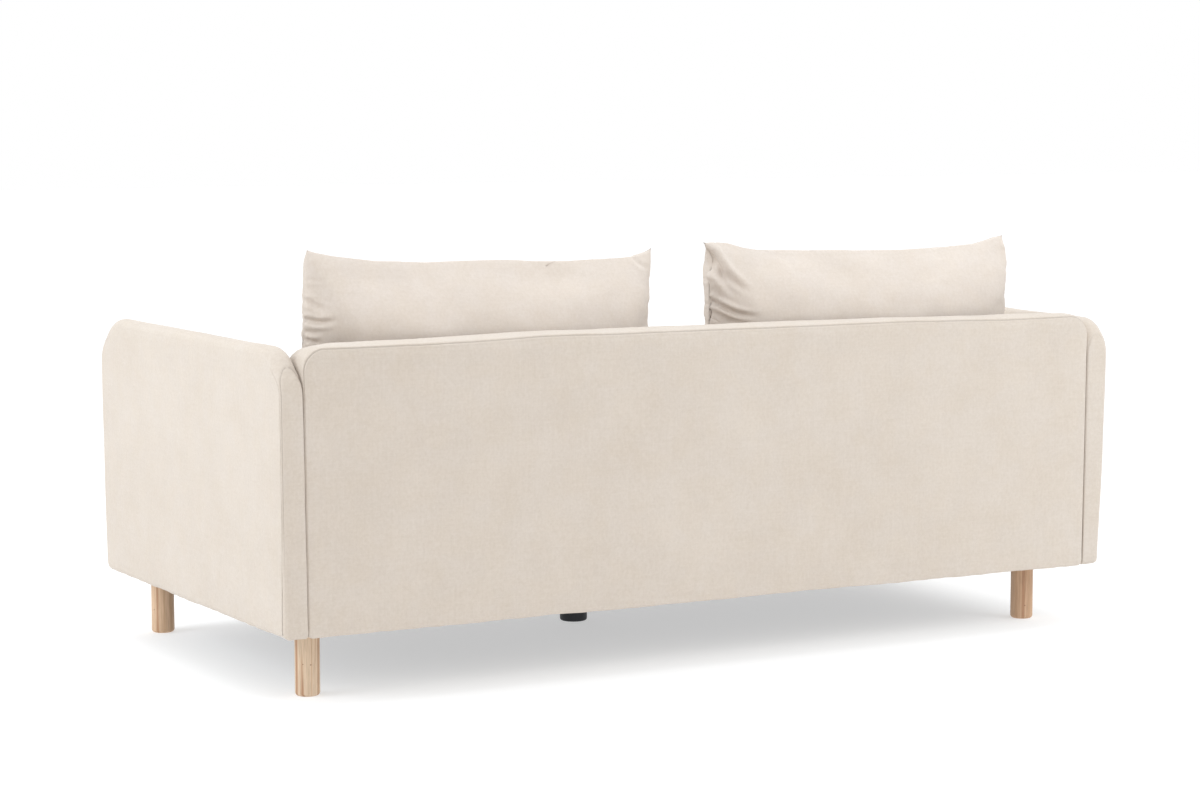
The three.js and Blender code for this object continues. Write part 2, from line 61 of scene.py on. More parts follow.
CAMERA_PLACE = (3.020, 5.323, 1.120)
CAMERA_AZIMUTH = 150.57  # degrees; 0 looks along +Y, with +X to the right
CAMERA_ELEVATION = 5.89  # degrees above the horizon
CAMERA_LENS = 86.9  # mm, on a 36 mm wide sensor


def make_camera():
    data = bpy.data.cameras.new("camera")
    data.lens = CAMERA_LENS
    data.sensor_width = 36
    data.clip_end = 60
    camera = bpy.data.objects.new("camera", data)
    bpy.context.scene.collection.objects.link(camera)
    azimuth = math.radians(CAMERA_AZIMUTH)
    elevation = math.radians(CAMERA_ELEVATION)
    backwards = Vector(
        (
            math.sin(azimuth) * math.cos(elevation),
            -math.cos(azimuth) * math.cos(elevation),
            math.sin(elevation),
        )
    )
    camera.location = CAMERA_PLACE
    camera.rotation_euler = backwards.to_track_quat("Z", "Y").to_euler()
    bpy.context.scene.camera = camera


# ---- Light and floor ---------------------------------------------------------

FLOOR_REACH = 30.0


def area_light(name, place, target, size, power, colour):
    data = bpy.data.lights.new(name, "AREA")
    data.shape = "RECTANGLE"
    data.size, data.size_y = size
    data.energy = power
    data.color = colour
    light = bpy.data.objects.new(name, data)
    light.location = place
    light.rotation_euler = (Vector(place) - Vector(target)).to_track_quat("Z", "Y").to_euler()
    bpy.context.scene.collection.objects.link(light)


def make_studio():
    world = bpy.data.worlds.new("studio")
    world.use_nodes = True
    background = world.node_tree.nodes["Background"]
    background.inputs["Color"].default_value = (1.0, 1.0, 1.0, 1)
    background.inputs["Strength"].default_value = 1.0
    bpy.context.scene.world = world
    bpy.context.scene.view_settings.view_transform = "Standard"

    cool = (0.85, 0.935, 1.0)
    area_light("side_light", (4.6, -0.4, 2.2), (0.6, 0.0, 0.4), (2.6, 2.2), 75, cool)
    area_light("top_light", (0.2, -0.3, 3.6), (0, 0.1, 0), (3.6, 2.6), 48, (0.92, 0.97, 1.0))
    area_light("rear_fill", (-2.6, 2.8, 2.0), (-0.7, 0.4, 0.5), (1.6, 1.6), 44, cool)

    mesh = bpy.data.meshes.new("floor")
    signs = ((-1, -1), (1, -1), (1, 1), (-1, 1))
    corners = [(x * FLOOR_REACH, y * FLOOR_REACH, 0) for x, y in signs]
    mesh.from_pydata(corners, [], [(0, 1, 2, 3)])
    floor = bpy.data.objects.new("floor", mesh)
    bpy.context.scene.collection.objects.link(floor)
    floor.data.materials.append(floor_material())


# ---- Material graphs ---------------------------------------------------------


def grey(value):
    return (value, value, value)


class Graph:
    """A material's node tree, with short calls that add a node and link its inputs."""

    def __init__(self, name):
        self.material = bpy.data.materials.new(name)
        self.material.use_nodes = True
        self.tree = self.material.node_tree
        self.shader = self.tree.nodes["Principled BSDF"]
        self.place = self.node("ShaderNodeTexCoord").outputs["Object"]

    def node(self, kind, inputs=None, **settings):
        node = self.tree.nodes.new(kind)
        for name, value in settings.items():
            setattr(node, name, value)
        for key, value in (inputs or {}).items():
            if isinstance(value, bpy.types.NodeSocket):
                self.tree.links.new(value, node.inputs[key])
            else:
                node.inputs[key].default_value = value
        return node

    def set(self, **values):
        for name, value in values.items():
            socket = self.shader.inputs[name.replace("_", " ")]
            if isinstance(value, bpy.types.NodeSocket):
                self.tree.links.new(value, socket)
            else:
                socket.default_value = value
        return self

    def math(self, operation, a, b=0.0):
        return self.node("ShaderNodeMath", {0: a, 1: b}, operation=operation).outputs[0]

    def distance(self, place, centre):
        inputs = {0: place, 1: centre}
        return self.node("ShaderNodeVectorMath", inputs, operation="DISTANCE").outputs["Value"]

    def stretched(self, scale):
        inputs = {"Vector": self.place, "Scale": scale}
        return self.node("ShaderNodeMapping", inputs).outputs[0]

    def noise(self, scale, detail=3.0, vector=None, roughness=0.5, distortion=0.0):
        inputs = {
            "Vector": vector or self.place,
            "Scale": scale,
            "Detail": detail,
            "Roughness": roughness,
            "Distortion": distortion,
        }
        return self.node("ShaderNodeTexNoise", inputs).outputs["Fac"]

    def streaks(self, across, along):
        """Yarn-like streaks that run along each axis, averaged."""
        scales = [(along, across, across), (across, along, across), (across, across, along)]
        parts = [self.noise(1.0, 4.0, self.stretched(scale), 0.65) for scale in scales]
        total = self.math("ADD", self.math("ADD", parts[0], parts[1]), parts[2])
        return self.math("MULTIPLY", total, 1 / 3)

    def ramp(self, factor, *stops):
        node = self.node("ShaderNodeValToRGB", {"Fac": factor})
        elements = node.color_ramp.elements
        while len(elements) < len(stops):
            elements.new(0.5)
        for element, (position, colour) in zip(elements, stops):
            element.position = position
            element.color = (*colour, 1)
        return node.outputs["Color"]

    def mix(self, factor, a, b, blend="MIX"):
        node = self.node("ShaderNodeMix", {0: factor}, data_type="RGBA", blend_type=blend)
        for index, value in ((6, a), (7, b)):
            if isinstance(value, bpy.types.NodeSocket):
                self.tree.links.new(value, node.inputs[index])
            else:
                node.inputs[index].default_value = (*value, 1)
        return node.outputs[2]

    def bump(self, height, strength, distance, normal=None):
        inputs = {"Height": height, "Strength": strength, "Distance": distance}
        if normal:
            inputs["Normal"] = normal
        return self.node("ShaderNodeBump", inputs).outputs["Normal"]


def floor_material():
    graph = Graph("floor")
    tone = graph.ramp(graph.noise(0.6), (0.3, grey(0.54)), (0.7, grey(0.56)))
    graph.set(Base_Color=tone, Roughness=0.9, Emission_Strength=0.50)
    graph.shader.inputs["Emission Color"].default_value = (1, 1, 1, 1)
    return graph.material


THREAD = 1.1 * MM  # from one thread of the cloth to the next
CLOTH_RELIEF = 0.3


def woven_cloth(name, light, dark):
    """A plain weave of slubby yarn.

    Threads run along X, Y and Z, and a panel shows the two sets that lie in it: the
    set that would pierce it fades out.
    """
    graph = Graph(name)
    normal = graph.node("ShaderNodeTexCoord").outputs["Normal"]
    facing = graph.node("ShaderNodeSeparateXYZ", {0: normal})
    threads = None
    for axis, direction in enumerate(("X", "Y", "Z")):
        inputs = {"Vector": graph.place, "Scale": 0.5 / THREAD, "Distortion": 0.6, "Detail": 1.0}
        wave = graph.node("ShaderNodeTexWave", inputs, bands_direction=direction)
        turned_away = graph.math("ABSOLUTE", facing.outputs[axis])
        fade = {0: turned_away, 1: 0.85, 2: 0.55, 3: 0.0, 4: 1.0}
        weight = graph.node("ShaderNodeMapRange", fade, interpolation_type="SMOOTHSTEP")
        wave = graph.math("MULTIPLY", wave.outputs["Fac"], weight.outputs[0])
        threads = wave if threads is None else graph.math("ADD", threads, wave)
    slubs = graph.streaks(420, 26)
    bands = graph.streaks(150, 8)
    clouds = graph.noise(9.0, 3.0, None, 0.55)
    mottle = graph.noise(170.0, 3.0, None, 0.6)
    tone = graph.math("MULTIPLY", slubs, 0.34)
    for part, share in ((bands, 0.22), (mottle, 0.26), (clouds, 0.18)):
        tone = graph.math("ADD", tone, graph.math("MULTIPLY", part, share))
    colour = graph.ramp(tone, (0.42, dark), (0.58, light))
    drift = graph.noise(20.0, 2.0)
    tint = graph.ramp(drift, (0.40, (1.0, 0.993, 0.986)), (0.60, (1.0, 1.0, 1.006)))
    colour = graph.mix(1.0, colour, tint, "MULTIPLY")
    weave = graph.ramp(threads, (0.3, grey(0.94)), (1.1, grey(1.0)))
    colour = graph.mix(1.0, colour, weave, "MULTIPLY")
    # Painted shade along the seams: the seam mark mixes the colour towards this darker shadow tone,
    # standing in for the shade in the groove between puffed panels.
    seam = graph.node("ShaderNodeAttribute", attribute_name="seam").outputs["Fac"]
    shadow = tuple(0.42 * c for c in dark)
    colour = graph.mix(graph.math("MULTIPLY", seam, 0.85), colour, shadow)
    height = graph.math("ADD", graph.math("MULTIPLY", threads, 0.6), slubs)
    normal = graph.bump(height, CLOTH_RELIEF, 0.5 * MM)
    normal = graph.bump(graph.noise(34.0, 3.0), 0.10, 3 * MM, normal)
    graph.set(Base_Color=colour, Roughness=0.92, Normal=normal)
    graph.set(Sheen_Weight=0.25, Sheen_Roughness=0.45, Specular_IOR_Level=0.2)
    graph.shader.inputs["Sheen Tint"].default_value = (1.0, 0.98, 0.96, 1)
    return graph.material


KNOT_BROWN = (0.20, 0.085, 0.045)


def pine(name, light, dark, streak, stripes, knots):
    """Turned pine, with upright stripes (place, width, strength) and knots (place, radius)."""
    graph = Graph(name)
    drift = graph.noise(1.0, 2.0, graph.stretched((14, 14, 3.0)))
    grain = graph.noise(1.0, 5.0, graph.stretched((150, 150, 5.0)), 0.6, 0.35)
    fine = graph.noise(1.0, 3.0, graph.stretched((900, 900, 26)), 0.6)
    tone = graph.math("MULTIPLY", grain, 0.75)
    tone = graph.math("ADD", tone, graph.math("MULTIPLY", drift, 0.25))
    colour = graph.ramp(tone, (0.36, dark), (0.50, light), (0.66, tuple(1.06 * c for c in light)))
    bands = graph.noise(1.0, 2.0, graph.stretched((46, 46, 1.6)), 0.5, 0.6)
    stripe = graph.ramp(bands, (0.60, grey(0.0)), (0.69, grey(0.85)))
    colour = graph.mix(stripe, colour, streak)
    flat = graph.stretched((1, 1, 0))
    for centre, width, strength in stripes:
        reach = graph.math("DIVIDE", graph.distance(flat, (centre[0], centre[1], 0)), width)
        reach = graph.math("ADD", reach, graph.math("MULTIPLY", grain, 0.9))
        mask = graph.ramp(reach, (0.75, grey(strength)), (1.35, grey(0.0)))
        colour = graph.mix(mask, colour, streak)
    pores = graph.ramp(fine, (0.36, grey(0.80)), (0.52, grey(1.0)))
    colour = graph.mix(1.0, colour, pores, "MULTIPLY")
    for centre, radius in knots:
        spot = graph.math("DIVIDE", graph.distance(graph.place, centre), radius)
        mask = graph.ramp(spot, (0.45, grey(0.75)), (1.0, grey(0.0)))
        colour = graph.mix(mask, colour, KNOT_BROWN)
    roughness = graph.ramp(fine, (0.3, grey(0.62)), (0.7, grey(0.5)))
    normal = graph.bump(graph.math("ADD", fine, grain), 0.25, 0.3 * MM)
    graph.set(Base_Color=colour, Roughness=roughness, Normal=normal)
    return graph.material


def sawn_timber(name, light, dark, scale):
    graph = Graph(name)
    grain = graph.noise(1.0, 5.0, graph.stretched(scale), 0.6, 0.4)
    colour = graph.ramp(grain, (0.35, dark), (0.65, light))
    normal = graph.bump(grain, 0.3, 0.4 * MM)
    graph.set(Base_Color=colour, Roughness=0.75, Normal=normal)
    return graph.material


def speckled(name, light, dark, scale, roughness, relief, metallic=0.0):
    graph = Graph(name)
    grain = graph.noise(scale, 4.0, None, 0.65)
    colour = graph.ramp(grain, (0.35, dark), (0.65, light))
    normal = graph.bump(grain, relief, 0.4 * MM)
    graph.set(Base_Color=colour, Roughness=roughness, Normal=normal, Metallic=metallic)
    return graph.material


def black_plastic():
    graph = Graph("black_plastic")
    grain = graph.noise(700.0, 3.0)
    colour = graph.ramp(grain, (0.35, (0.008, 0.009, 0.012)), (0.65, (0.016, 0.018, 0.023)))
    roughness = graph.ramp(grain, (0.3, grey(0.42)), (0.7, grey(0.55)))
    graph.set(Base_Color=colour, Roughness=roughness, Normal=graph.bump(grain, 0.15, 0.2 * MM))
    return graph.material


# ---- Meshes ------------------------------------------------------------------


def smooth_shaded(mesh):
    mesh.polygons.foreach_set("use_smooth", [True] * len(mesh.polygons))


def make_object(name, points, faces, material):
    mesh = bpy.data.meshes.new(name)
    mesh.from_pydata([tuple(p) for p in points], [], [tuple(f) for f in faces])
    shape = bmesh.new()
    shape.from_mesh(mesh)
    bmesh.ops.recalc_face_normals(shape, faces=shape.faces)
    shape.to_mesh(mesh)
    shape.free()
    mesh.materials.append(material)
    smooth_shaded(mesh)
    piece = bpy.data.objects.new(name, mesh)
    bpy.context.scene.collection.objects.link(piece)
    return piece


def points_of(piece):
    points = np.zeros(len(piece.data.vertices) * 3)
    piece.data.vertices.foreach_get("co", points)
    return points.reshape(-1, 3)


def move_points(piece, points):
    piece.data.vertices.foreach_set("co", points.astype(np.float32).ravel())
    piece.data.update()


def normals_of(piece):
    normals = np.zeros(len(piece.data.vertices) * 3)
    piece.data.vertex_normals.foreach_get("vector", normals)
    return normals.reshape(-1, 3)


def subdivide(piece, levels):
    modifier = piece.modifiers.new("fine", "SUBSURF")
    modifier.levels = modifier.render_levels = levels
    bake_modifiers(piece)


def bake_modifiers(piece):
    graph = bpy.context.evaluated_depsgraph_get()
    mesh = bpy.data.meshes.new_from_object(piece.evaluated_get(graph))
    piece.modifiers.clear()
    piece.data = mesh


def sharpen(piece, corners, crease):
    """Creases every edge between two of the corners, a list of point numbers."""
    marked = np.zeros(len(piece.data.vertices), bool)
    marked[corners] = True
    sharpness = piece.data.attributes.new("crease_edge", "FLOAT", "EDGE")
    for edge in piece.data.edges:
        if marked[edge.vertices[0]] and marked[edge.vertices[1]]:
            sharpness.data[edge.index].value = crease


def unevenness(points, size, height, seed):
    """Low swells in the padding: one value for each point."""
    shift = Vector((seed * 7.31, seed * 3.17, seed * 5.03))
    return np.array([noise.noise(Vector(p) / size + shift) for p in points]) * height


def press_seam(piece, line, depth, width, shade):
    """Draws the surface in along a seam line, and marks the line where the cloth paints shade into
    its colour.

    depth and shade are one value, or one for each point of the line.
    """
    nearest, distance = nearest_on(line, points_of(piece))
    depth = np.broadcast_to(depth, len(line))[nearest]
    shade = np.broadcast_to(shade, len(line))[nearest]
    pull = depth * np.exp(-((distance / width) ** 2))
    move_points(piece, points_of(piece) - normals_of(piece) * pull[:, None])
    # The mark holds how much painted shade darkens the cloth along the seam.
    mark = piece.data.attributes.get("seam") or piece.data.attributes.new("seam", "FLOAT", "POINT")
    values = np.zeros(len(distance), np.float32)
    mark.data.foreach_get("value", values)
    values = np.maximum(values, shade * np.exp(-((distance / (0.75 * width)) ** 2)))
    mark.data.foreach_set("value", values.astype(np.float32))


def nearest_on(line, points):
    """For each point, the index of the nearest point of the line, and how far it is."""
    tree = KDTree(len(line))
    for index, point in enumerate(line):
        tree.insert(point, index)
    tree.balance()
    found = [tree.find(p)[1:] for p in points]
    return np.array([f[0] for f in found]), np.array([f[1] for f in found])


# ---- Upholstered slabs -------------------------------------------------------

SEAM_WIDTH = 0.0015


def arc(centre, radius, start, end, steps=12):
    angles = np.radians(np.linspace(start, end, steps + 1))
    return np.stack([centre[0] + radius * np.cos(angles), centre[1] + radius * np.sin(angles)], 1)


def resample(line, count, focus=()):
    """count + 1 points along a line, closer together near each (place, reach, gain) in focus."""
    steps = np.linalg.norm(np.diff(line, axis=0), axis=1)
    along = np.concatenate([[0], np.cumsum(steps)])
    fine = np.linspace(0, along[-1], 2000)
    density = np.ones_like(fine)
    for place, reach, gain in focus:
        density += gain * np.exp(-(((fine - place * along[-1]) / reach) ** 2))
    share = np.concatenate([[0], np.cumsum((density[1:] + density[:-1]) / 2)])
    places = np.interp(np.linspace(0, share[-1], count + 1), share, fine)
    return np.stack([np.interp(places, along, line[:, k]) for k in (0, 1)], 1)


def outline_sides(low, high, bottom, top, radii, counts, focus=None):
    """The four sides of a rounded rectangle, anticlockwise from the lower low corner.

    Each side runs between the middles of two corner arcs. radii go with the corners
    in the same order.
    """
    focus = focus or {}
    r0, r1, r2, r3 = radii
    c0, c1 = (low + r0, bottom + r0), (high - r1, bottom + r1)
    c2, c3 = (high - r2, top - r2), (low + r3, top - r3)
    lines = {
        "bottom": [arc(c0, r0, 225, 270), arc(c1, r1, 270, 315)],
        "high": [arc(c1, r1, 315, 360), arc(c2, r2, 0, 45)],
        "top": [arc(c2, r2, 45, 90), arc(c3, r3, 90, 135)],
        "low": [arc(c3, r3, 135, 180), arc(c0, r0, 180, 225)],
    }
    across, up = counts
    sides = {}
    for name, parts in lines.items():
        count = across if name in ("bottom", "top") else up
        sides[name] = resample(np.concatenate(parts), count, focus.get(name, ()))
    return sides


class Slab:
    """A padded slab: two faces, and a strip that goes round their edge.

    The outline is in local a and b. w runs through the thickness. Rings of points
    step from one face to the other; roundness gives the radius of the edge at each
    point of the outline, for the face at +w or -w, and tuck draws the strip in, as a
    function of the outline's point and the place through the thickness from -1 to 1.
    """

    ARC_STEPS = 12

    def __init__(self, sides, half, roundness, flat_steps, face_swell=0.0, tuck=None):
        self.half = half
        self.face_swell = face_swell
        self.tuck = tuck
        order = ("bottom", "high", "top", "low")
        self.loop = np.concatenate([sides[name][:-1] for name in order])
        self.across = len(sides["bottom"]) - 1
        self.up = len(sides["high"]) - 1
        ahead = np.roll(self.loop, -1, 0) - np.roll(self.loop, 1, 0)
        ahead /= np.linalg.norm(ahead, axis=1)[:, None]
        self.outward = np.stack([ahead[:, 1], -ahead[:, 0]], 1)
        self.radius = {sign: roundness(self.loop, sign) for sign in (1, -1)}
        self.flat_steps = flat_steps

    def profile(self, step):
        """Depth through the slab and inset from the outline at one ring."""
        steps, flat = self.ARC_STEPS, self.flat_steps
        last = 2 * steps + flat
        mirrored = step > last / 2
        radius = self.radius[-1 if mirrored else 1]
        k = last - step if mirrored else step
        angle = min(k / steps, 1.0) * math.pi / 2
        w = self.half - radius * (1 - math.cos(angle))
        inset = radius * (1 - math.sin(angle))
        if k > steps:
            w = (self.half - radius) * (1 - 2 * (k - steps) / flat)
        w = -w if mirrored else w
        if self.tuck:
            inset = inset + self.tuck(self.loop, w / self.half)
        return w, inset

    def ring(self, step):
        w, inset = self.profile(step)
        flat = self.loop - self.outward * np.asarray(inset)[:, None]
        return np.column_stack([flat, np.broadcast_to(w, (len(flat),))])

    def rings(self):
        return 2 * self.ARC_STEPS + self.flat_steps + 1

    def face_grid(self, ring, sign):
        """Fills a face between the four parts of its edge ring."""
        n, m = self.across, self.up
        bottom, high = ring[: n + 1], ring[n : n + m + 1]
        top = ring[n + m : 2 * n + m + 1][::-1]
        low = np.concatenate([ring[2 * n + m :], ring[:1]])[::-1]
        u = np.linspace(0, 1, n + 1)[:, None, None]
        v = np.linspace(0, 1, m + 1)[None, :, None]
        grid = (1 - v) * bottom[:, None] + v * top[:, None] + (1 - u) * low[None] + u * high[None]
        grid -= (1 - u) * (1 - v) * bottom[0] + u * (1 - v) * bottom[-1]
        grid -= (1 - u) * v * top[0] + u * v * top[-1]
        rise = (1 - np.abs(2 * u - 1) ** 10) * (1 - np.abs(2 * v - 1) ** 6)
        grid[..., 2:] += sign * self.face_swell * rise
        return grid

    def build(self, name, material, to_world):
        n, m, count = self.across, self.up, len(self.loop)
        points, faces, edges = [], [], []
        rings = [self.ring(step) for step in range(self.rings())]
        for ring, sign in ((rings[0], 1), (rings[-1], -1)):
            start = sum(len(p) for p in points)
            index = start + np.arange((n + 1) * (m + 1)).reshape(n + 1, m + 1)
            points.append(self.face_grid(ring, sign).reshape(-1, 3))
            square = [index[:-1, :-1], index[1:, :-1], index[1:, 1:], index[:-1, 1:]]
            faces.append(np.stack(square, -1).reshape(-1, 4))
            edges.append(
                np.concatenate(
                    [index[:-1, 0], index[-1, :-1], index[:0:-1, -1], index[0, :0:-1]]
                )
            )
        start = sum(len(p) for p in points)
        points += rings[1:-1]
        inner = start + np.arange(count * (len(rings) - 2)).reshape(-1, count)
        loops = [edges[0], *inner, edges[1]]
        for a, b in zip(loops[:-1], loops[1:]):
            faces.append(np.stack([a, np.roll(a, -1), np.roll(b, -1), b], 1))
        local = np.concatenate(points)
        return make_object(name, to_world(local), np.concatenate(faces), material)


def smoothstep(value, start, end):
    t = np.clip((value - start) / (end - start), 0, 1)
    return t * t * (3 - 2 * t)


def blended(places, table):
    """Reads a table of (place, value) pairs as a smooth line."""
    fine = np.linspace(-1, 1, 401)
    knots = np.array(table)
    values = np.interp(fine, knots[:, 0], knots[:, 1])
    for _ in range(6):
        values[1:-1] = (values[:-2] + 2 * values[1:-1] + values[2:]) / 4
    return np.interp(places, fine, values)


# ---- Arms --------------------------------------------------------------------

ARM_FRONT_RADIUS = 0.102
ARM_BOTTOM_RADII = (0.020, 0.010)  # front, rear
ARM_EDGE_OUTER = (0.014, 0.0055)  # rounding beside the end panels, at the bottom and the top
ARM_EDGE_INNER = 0.0025
ARM_CROWN = 0.0208  # rounding along the top
ARM_SEAM_DEPTH = 0.0014
RIGHT_SEAM_SHARE = 0.4  # the right arm's seams are drawn in less and painted with less shade
SEAM_TOP = 0.034  # top of an end panel, below the top of the arm
SEAM_SPRING = 0.064  # where its arch begins, below the top of the arm

# How each arm's padding and bolts have settled, in millimetres: how far its inner and
# outer faces stand out from the bare frame at the bottom and at the top, how far its
# top, the rear of its top and its hem have dropped, and its upper rear corner's radius.
ARM_SETTLING = {
    "left": {
        "inner": (-2.5, 3.5), "outer": (-1.0, 3.0), "drop": 0.5, "rear_drop": 0.0, "hem": 4.5,
        "rear_radius": 94,
    },
    "right": {
        "inner": (-2.5, 3.0), "outer": (-0.5, 11.5), "drop": 4.0, "rear_drop": 8.0, "hem": 9.0,
        "rear_radius": 62,
    },
}


def arm_roundness(bottom, top):
    def radius(loop, sign):
        heights = loop[:, 1]
        lower = 1 - smoothstep(heights, bottom, bottom + 0.24)
        outer = ARM_EDGE_OUTER[1] + lower * (ARM_EDGE_OUTER[0] - ARM_EDGE_OUTER[1])
        plain = outer if sign > 0 else ARM_EDGE_INNER
        dome = smoothstep(heights, top - 0.078, top - 0.020)
        return plain + dome * (ARM_CROWN - plain)

    return radius


def end_seam(slab, top, at_rear):
    """Local points of the seam round one end panel, up one edge, over and down."""
    place = slab.loop[:, 0] > 0 if at_rear else slab.loop[:, 0] < 0
    heights = slab.loop[:, 1]
    spring, apex = top - SEAM_SPRING, top - SEAM_TOP
    candidates = np.where(place & (heights < apex) & (heights > slab.loop[:, 1].min() + 0.012))[0]
    end = slab.loop[:, 0].max() if at_rear else slab.loop[:, 0].min()
    near = np.abs(slab.loop[candidates, 0] - end) < 0.09
    candidates = candidates[near]
    candidates = candidates[np.argsort(heights[candidates])]
    line = []
    for sign in (1, -1):
        edge = []
        for i in candidates:
            z = heights[i]
            rise = np.clip((z - spring) / (apex - spring), 0, 1)
            radius = slab.radius[sign][i]
            straight = slab.half - radius * (1 - math.cos(math.pi / 4))
            w = straight * math.sqrt(max(0.0, 1 - rise**2.2))
            if w > slab.half - radius:
                lift = 1 - math.sqrt(max(0.0, 1 - ((w - slab.half + radius) / radius) ** 2))
            else:
                lift = 0.0
            a, b = slab.loop[i] - slab.outward[i] * radius * lift
            edge.append((a, b, sign * w))
        line += edge
    return np.array(line)


STITCH_SPACING = 0.0012
LARGEST_STEP = 0.03  # a line with a wider gap than this is two lines


def densify(line):
    """Points close together along a line."""
    points = []
    for a, b in zip(line[:-1], line[1:]):
        gap = np.linalg.norm(b - a)
        if gap > LARGEST_STEP:
            continue
        count = max(1, int(gap / STITCH_SPACING))
        points += [a + (b - a) * k / count for k in range(count)]
    return np.array(points)


def make_arm(name, side, cloth):
    low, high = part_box(f"arm_{name}_cover")
    settling = ARM_SETTLING[name]
    near, far = sorted((abs(low.x), abs(high.x)))
    half = (far - near) / 2
    top = high.z - settling["drop"] * MM
    rear_radius = settling["rear_radius"] * MM
    focus = {
        "high": [(0.93, 0.045, 6)],
        "top": [(0.03, 0.05, 6), (0.96, 0.05, 3)],
        "low": [(0.06, 0.06, 5)],
    }
    radii = (*ARM_BOTTOM_RADII, rear_radius, ARM_FRONT_RADIUS)
    bottom = low.z - settling["hem"] * MM
    sides = outline_sides(low.y, high.y, bottom, top, radii, (150, 110), focus)
    slab = Slab(sides, half, arm_roundness(bottom, top), 8, face_swell=0.0016)

    def to_world(local):
        height = (local[:, 1] - bottom) / (top - bottom)
        inner = near + MM * np.interp(height, (0, 1), settling["inner"])
        outer = far + MM * np.interp(height, (0, 1), settling["outer"])
        share = (local[:, 2] / half + 1) / 2
        sag = settling["rear_drop"] * MM * smoothstep(local[:, 0], -0.10, 0.38)
        z = local[:, 1] - sag * smoothstep(height, 0.3, 1.0)
        return np.column_stack([side * (inner + (outer - inner) * share), local[:, 0], z])

    arm = slab.build(f"upholstered_arm_{name}", cloth, to_world)
    lines = [to_world(densify(end_seam(slab, top, rear))) for rear in (True, False)]
    for line in lines:
        # The end seams' depth and painted shade fade towards the bottom.
        fade = 0.20 + 0.80 * smoothstep(line[:, 2], low.z + 0.08, low.z + 0.26)
        if name == "right":
            fade *= RIGHT_SEAM_SHARE
        press_seam(arm, line, ARM_SEAM_DEPTH * fade, SEAM_WIDTH, 0.45 * fade)
    points = points_of(arm)
    swell = unevenness(points, 0.16, 0.0012, 3 + side) + unevenness(points, 0.05, 0.0004, 5 + side)
    points += normals_of(arm) * swell[:, None]
    gathers = pleats(points, lines[0], 0.018, 0.0008, 7 + side)
    gathers += pleats(points, lines[1], 0.018, 0.0008, 9 + side)
    gathers += hem_pleats(points, bottom, 0.024, 0.0012, 11 + side)
    move_points(arm, points + normals_of(arm) * gathers[:, None])
    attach(arm, "frame")
    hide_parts(f"arm_{name}_cover", f"arm_{name}_foam")


def pleats(points, line, reach, height, seed):
    """Fine puckers that start at a seam and fade away from it, strongest where it curves."""
    nearest, distance = nearest_on(line, points)
    top = line[:, 2].max()
    values = np.zeros(len(points))
    for i in np.where(distance < 3 * reach)[0]:
        place = Vector(line[nearest[i]])
        arch = math.exp(-(((place.z - top) / 0.045) ** 2)) + 0.25
        wave = noise.noise(place * 130 + Vector((seed, seed * 2, 0)))
        fade = math.exp(-((distance[i] / reach) ** 2)) * min(1.0, distance[i] / 0.004)
        values[i] = wave * fade * arch * height
    return values


def hem_pleats(points, bottom, reach, height, seed):
    """Small tucks where the cloth turns under the bottom edge."""
    values = np.zeros(len(points))
    near = np.where(points[:, 2] < bottom + 3 * reach)[0]
    for i in near:
        x, y, z = points[i]
        wave = noise.noise(Vector((x * 45 + seed, y * 45, seed * 3.1)))
        values[i] = wave * height * math.exp(-(((z - bottom) / reach) ** 2))
    return values


# ---- Back --------------------------------------------------------------------

BACK_CORNER_RADIUS = 0.044
BACK_BOTTOM_RADIUS = 0.009
BACK_EDGE_TOP = 0.0085  # rounding beside the boxing strip, along the top and elsewhere
BACK_EDGE_SIDE = 0.0030
BACK_FACE_INSET = 0.001  # leaves room for the padding's swell
BACK_CROWN = 0.0035  # how far the boxing strip stands up between its two seams
BACK_FRONT_DROP = 0.009  # how much rounder the corners are at the front than at the rear
BACK_SIDES = (-0.0022, 0.0032)  # each side edge, out from the bare frame, at the bottom and top
BACK_HEM = (0.0075, 0.0035)  # how far the hem has dropped, at the right and left ends

# How the crest of the back rises and sinks: (place along X in metres, millimetres).
BACK_CREST = (
    (-0.95, -6.5), (-0.68, -6.0), (-0.60, -3.8), (-0.50, -2.6), (-0.42, -1.2), (-0.20, -1.0),
    (0.0, 0.0), (0.26, 0.2), (0.35, 2.4), (0.42, 2.4), (0.48, 0.0), (0.57, -2.4), (0.64, -3.4),
    (0.70, -2.2), (0.85, -2.2), (0.95, -2.0),
)


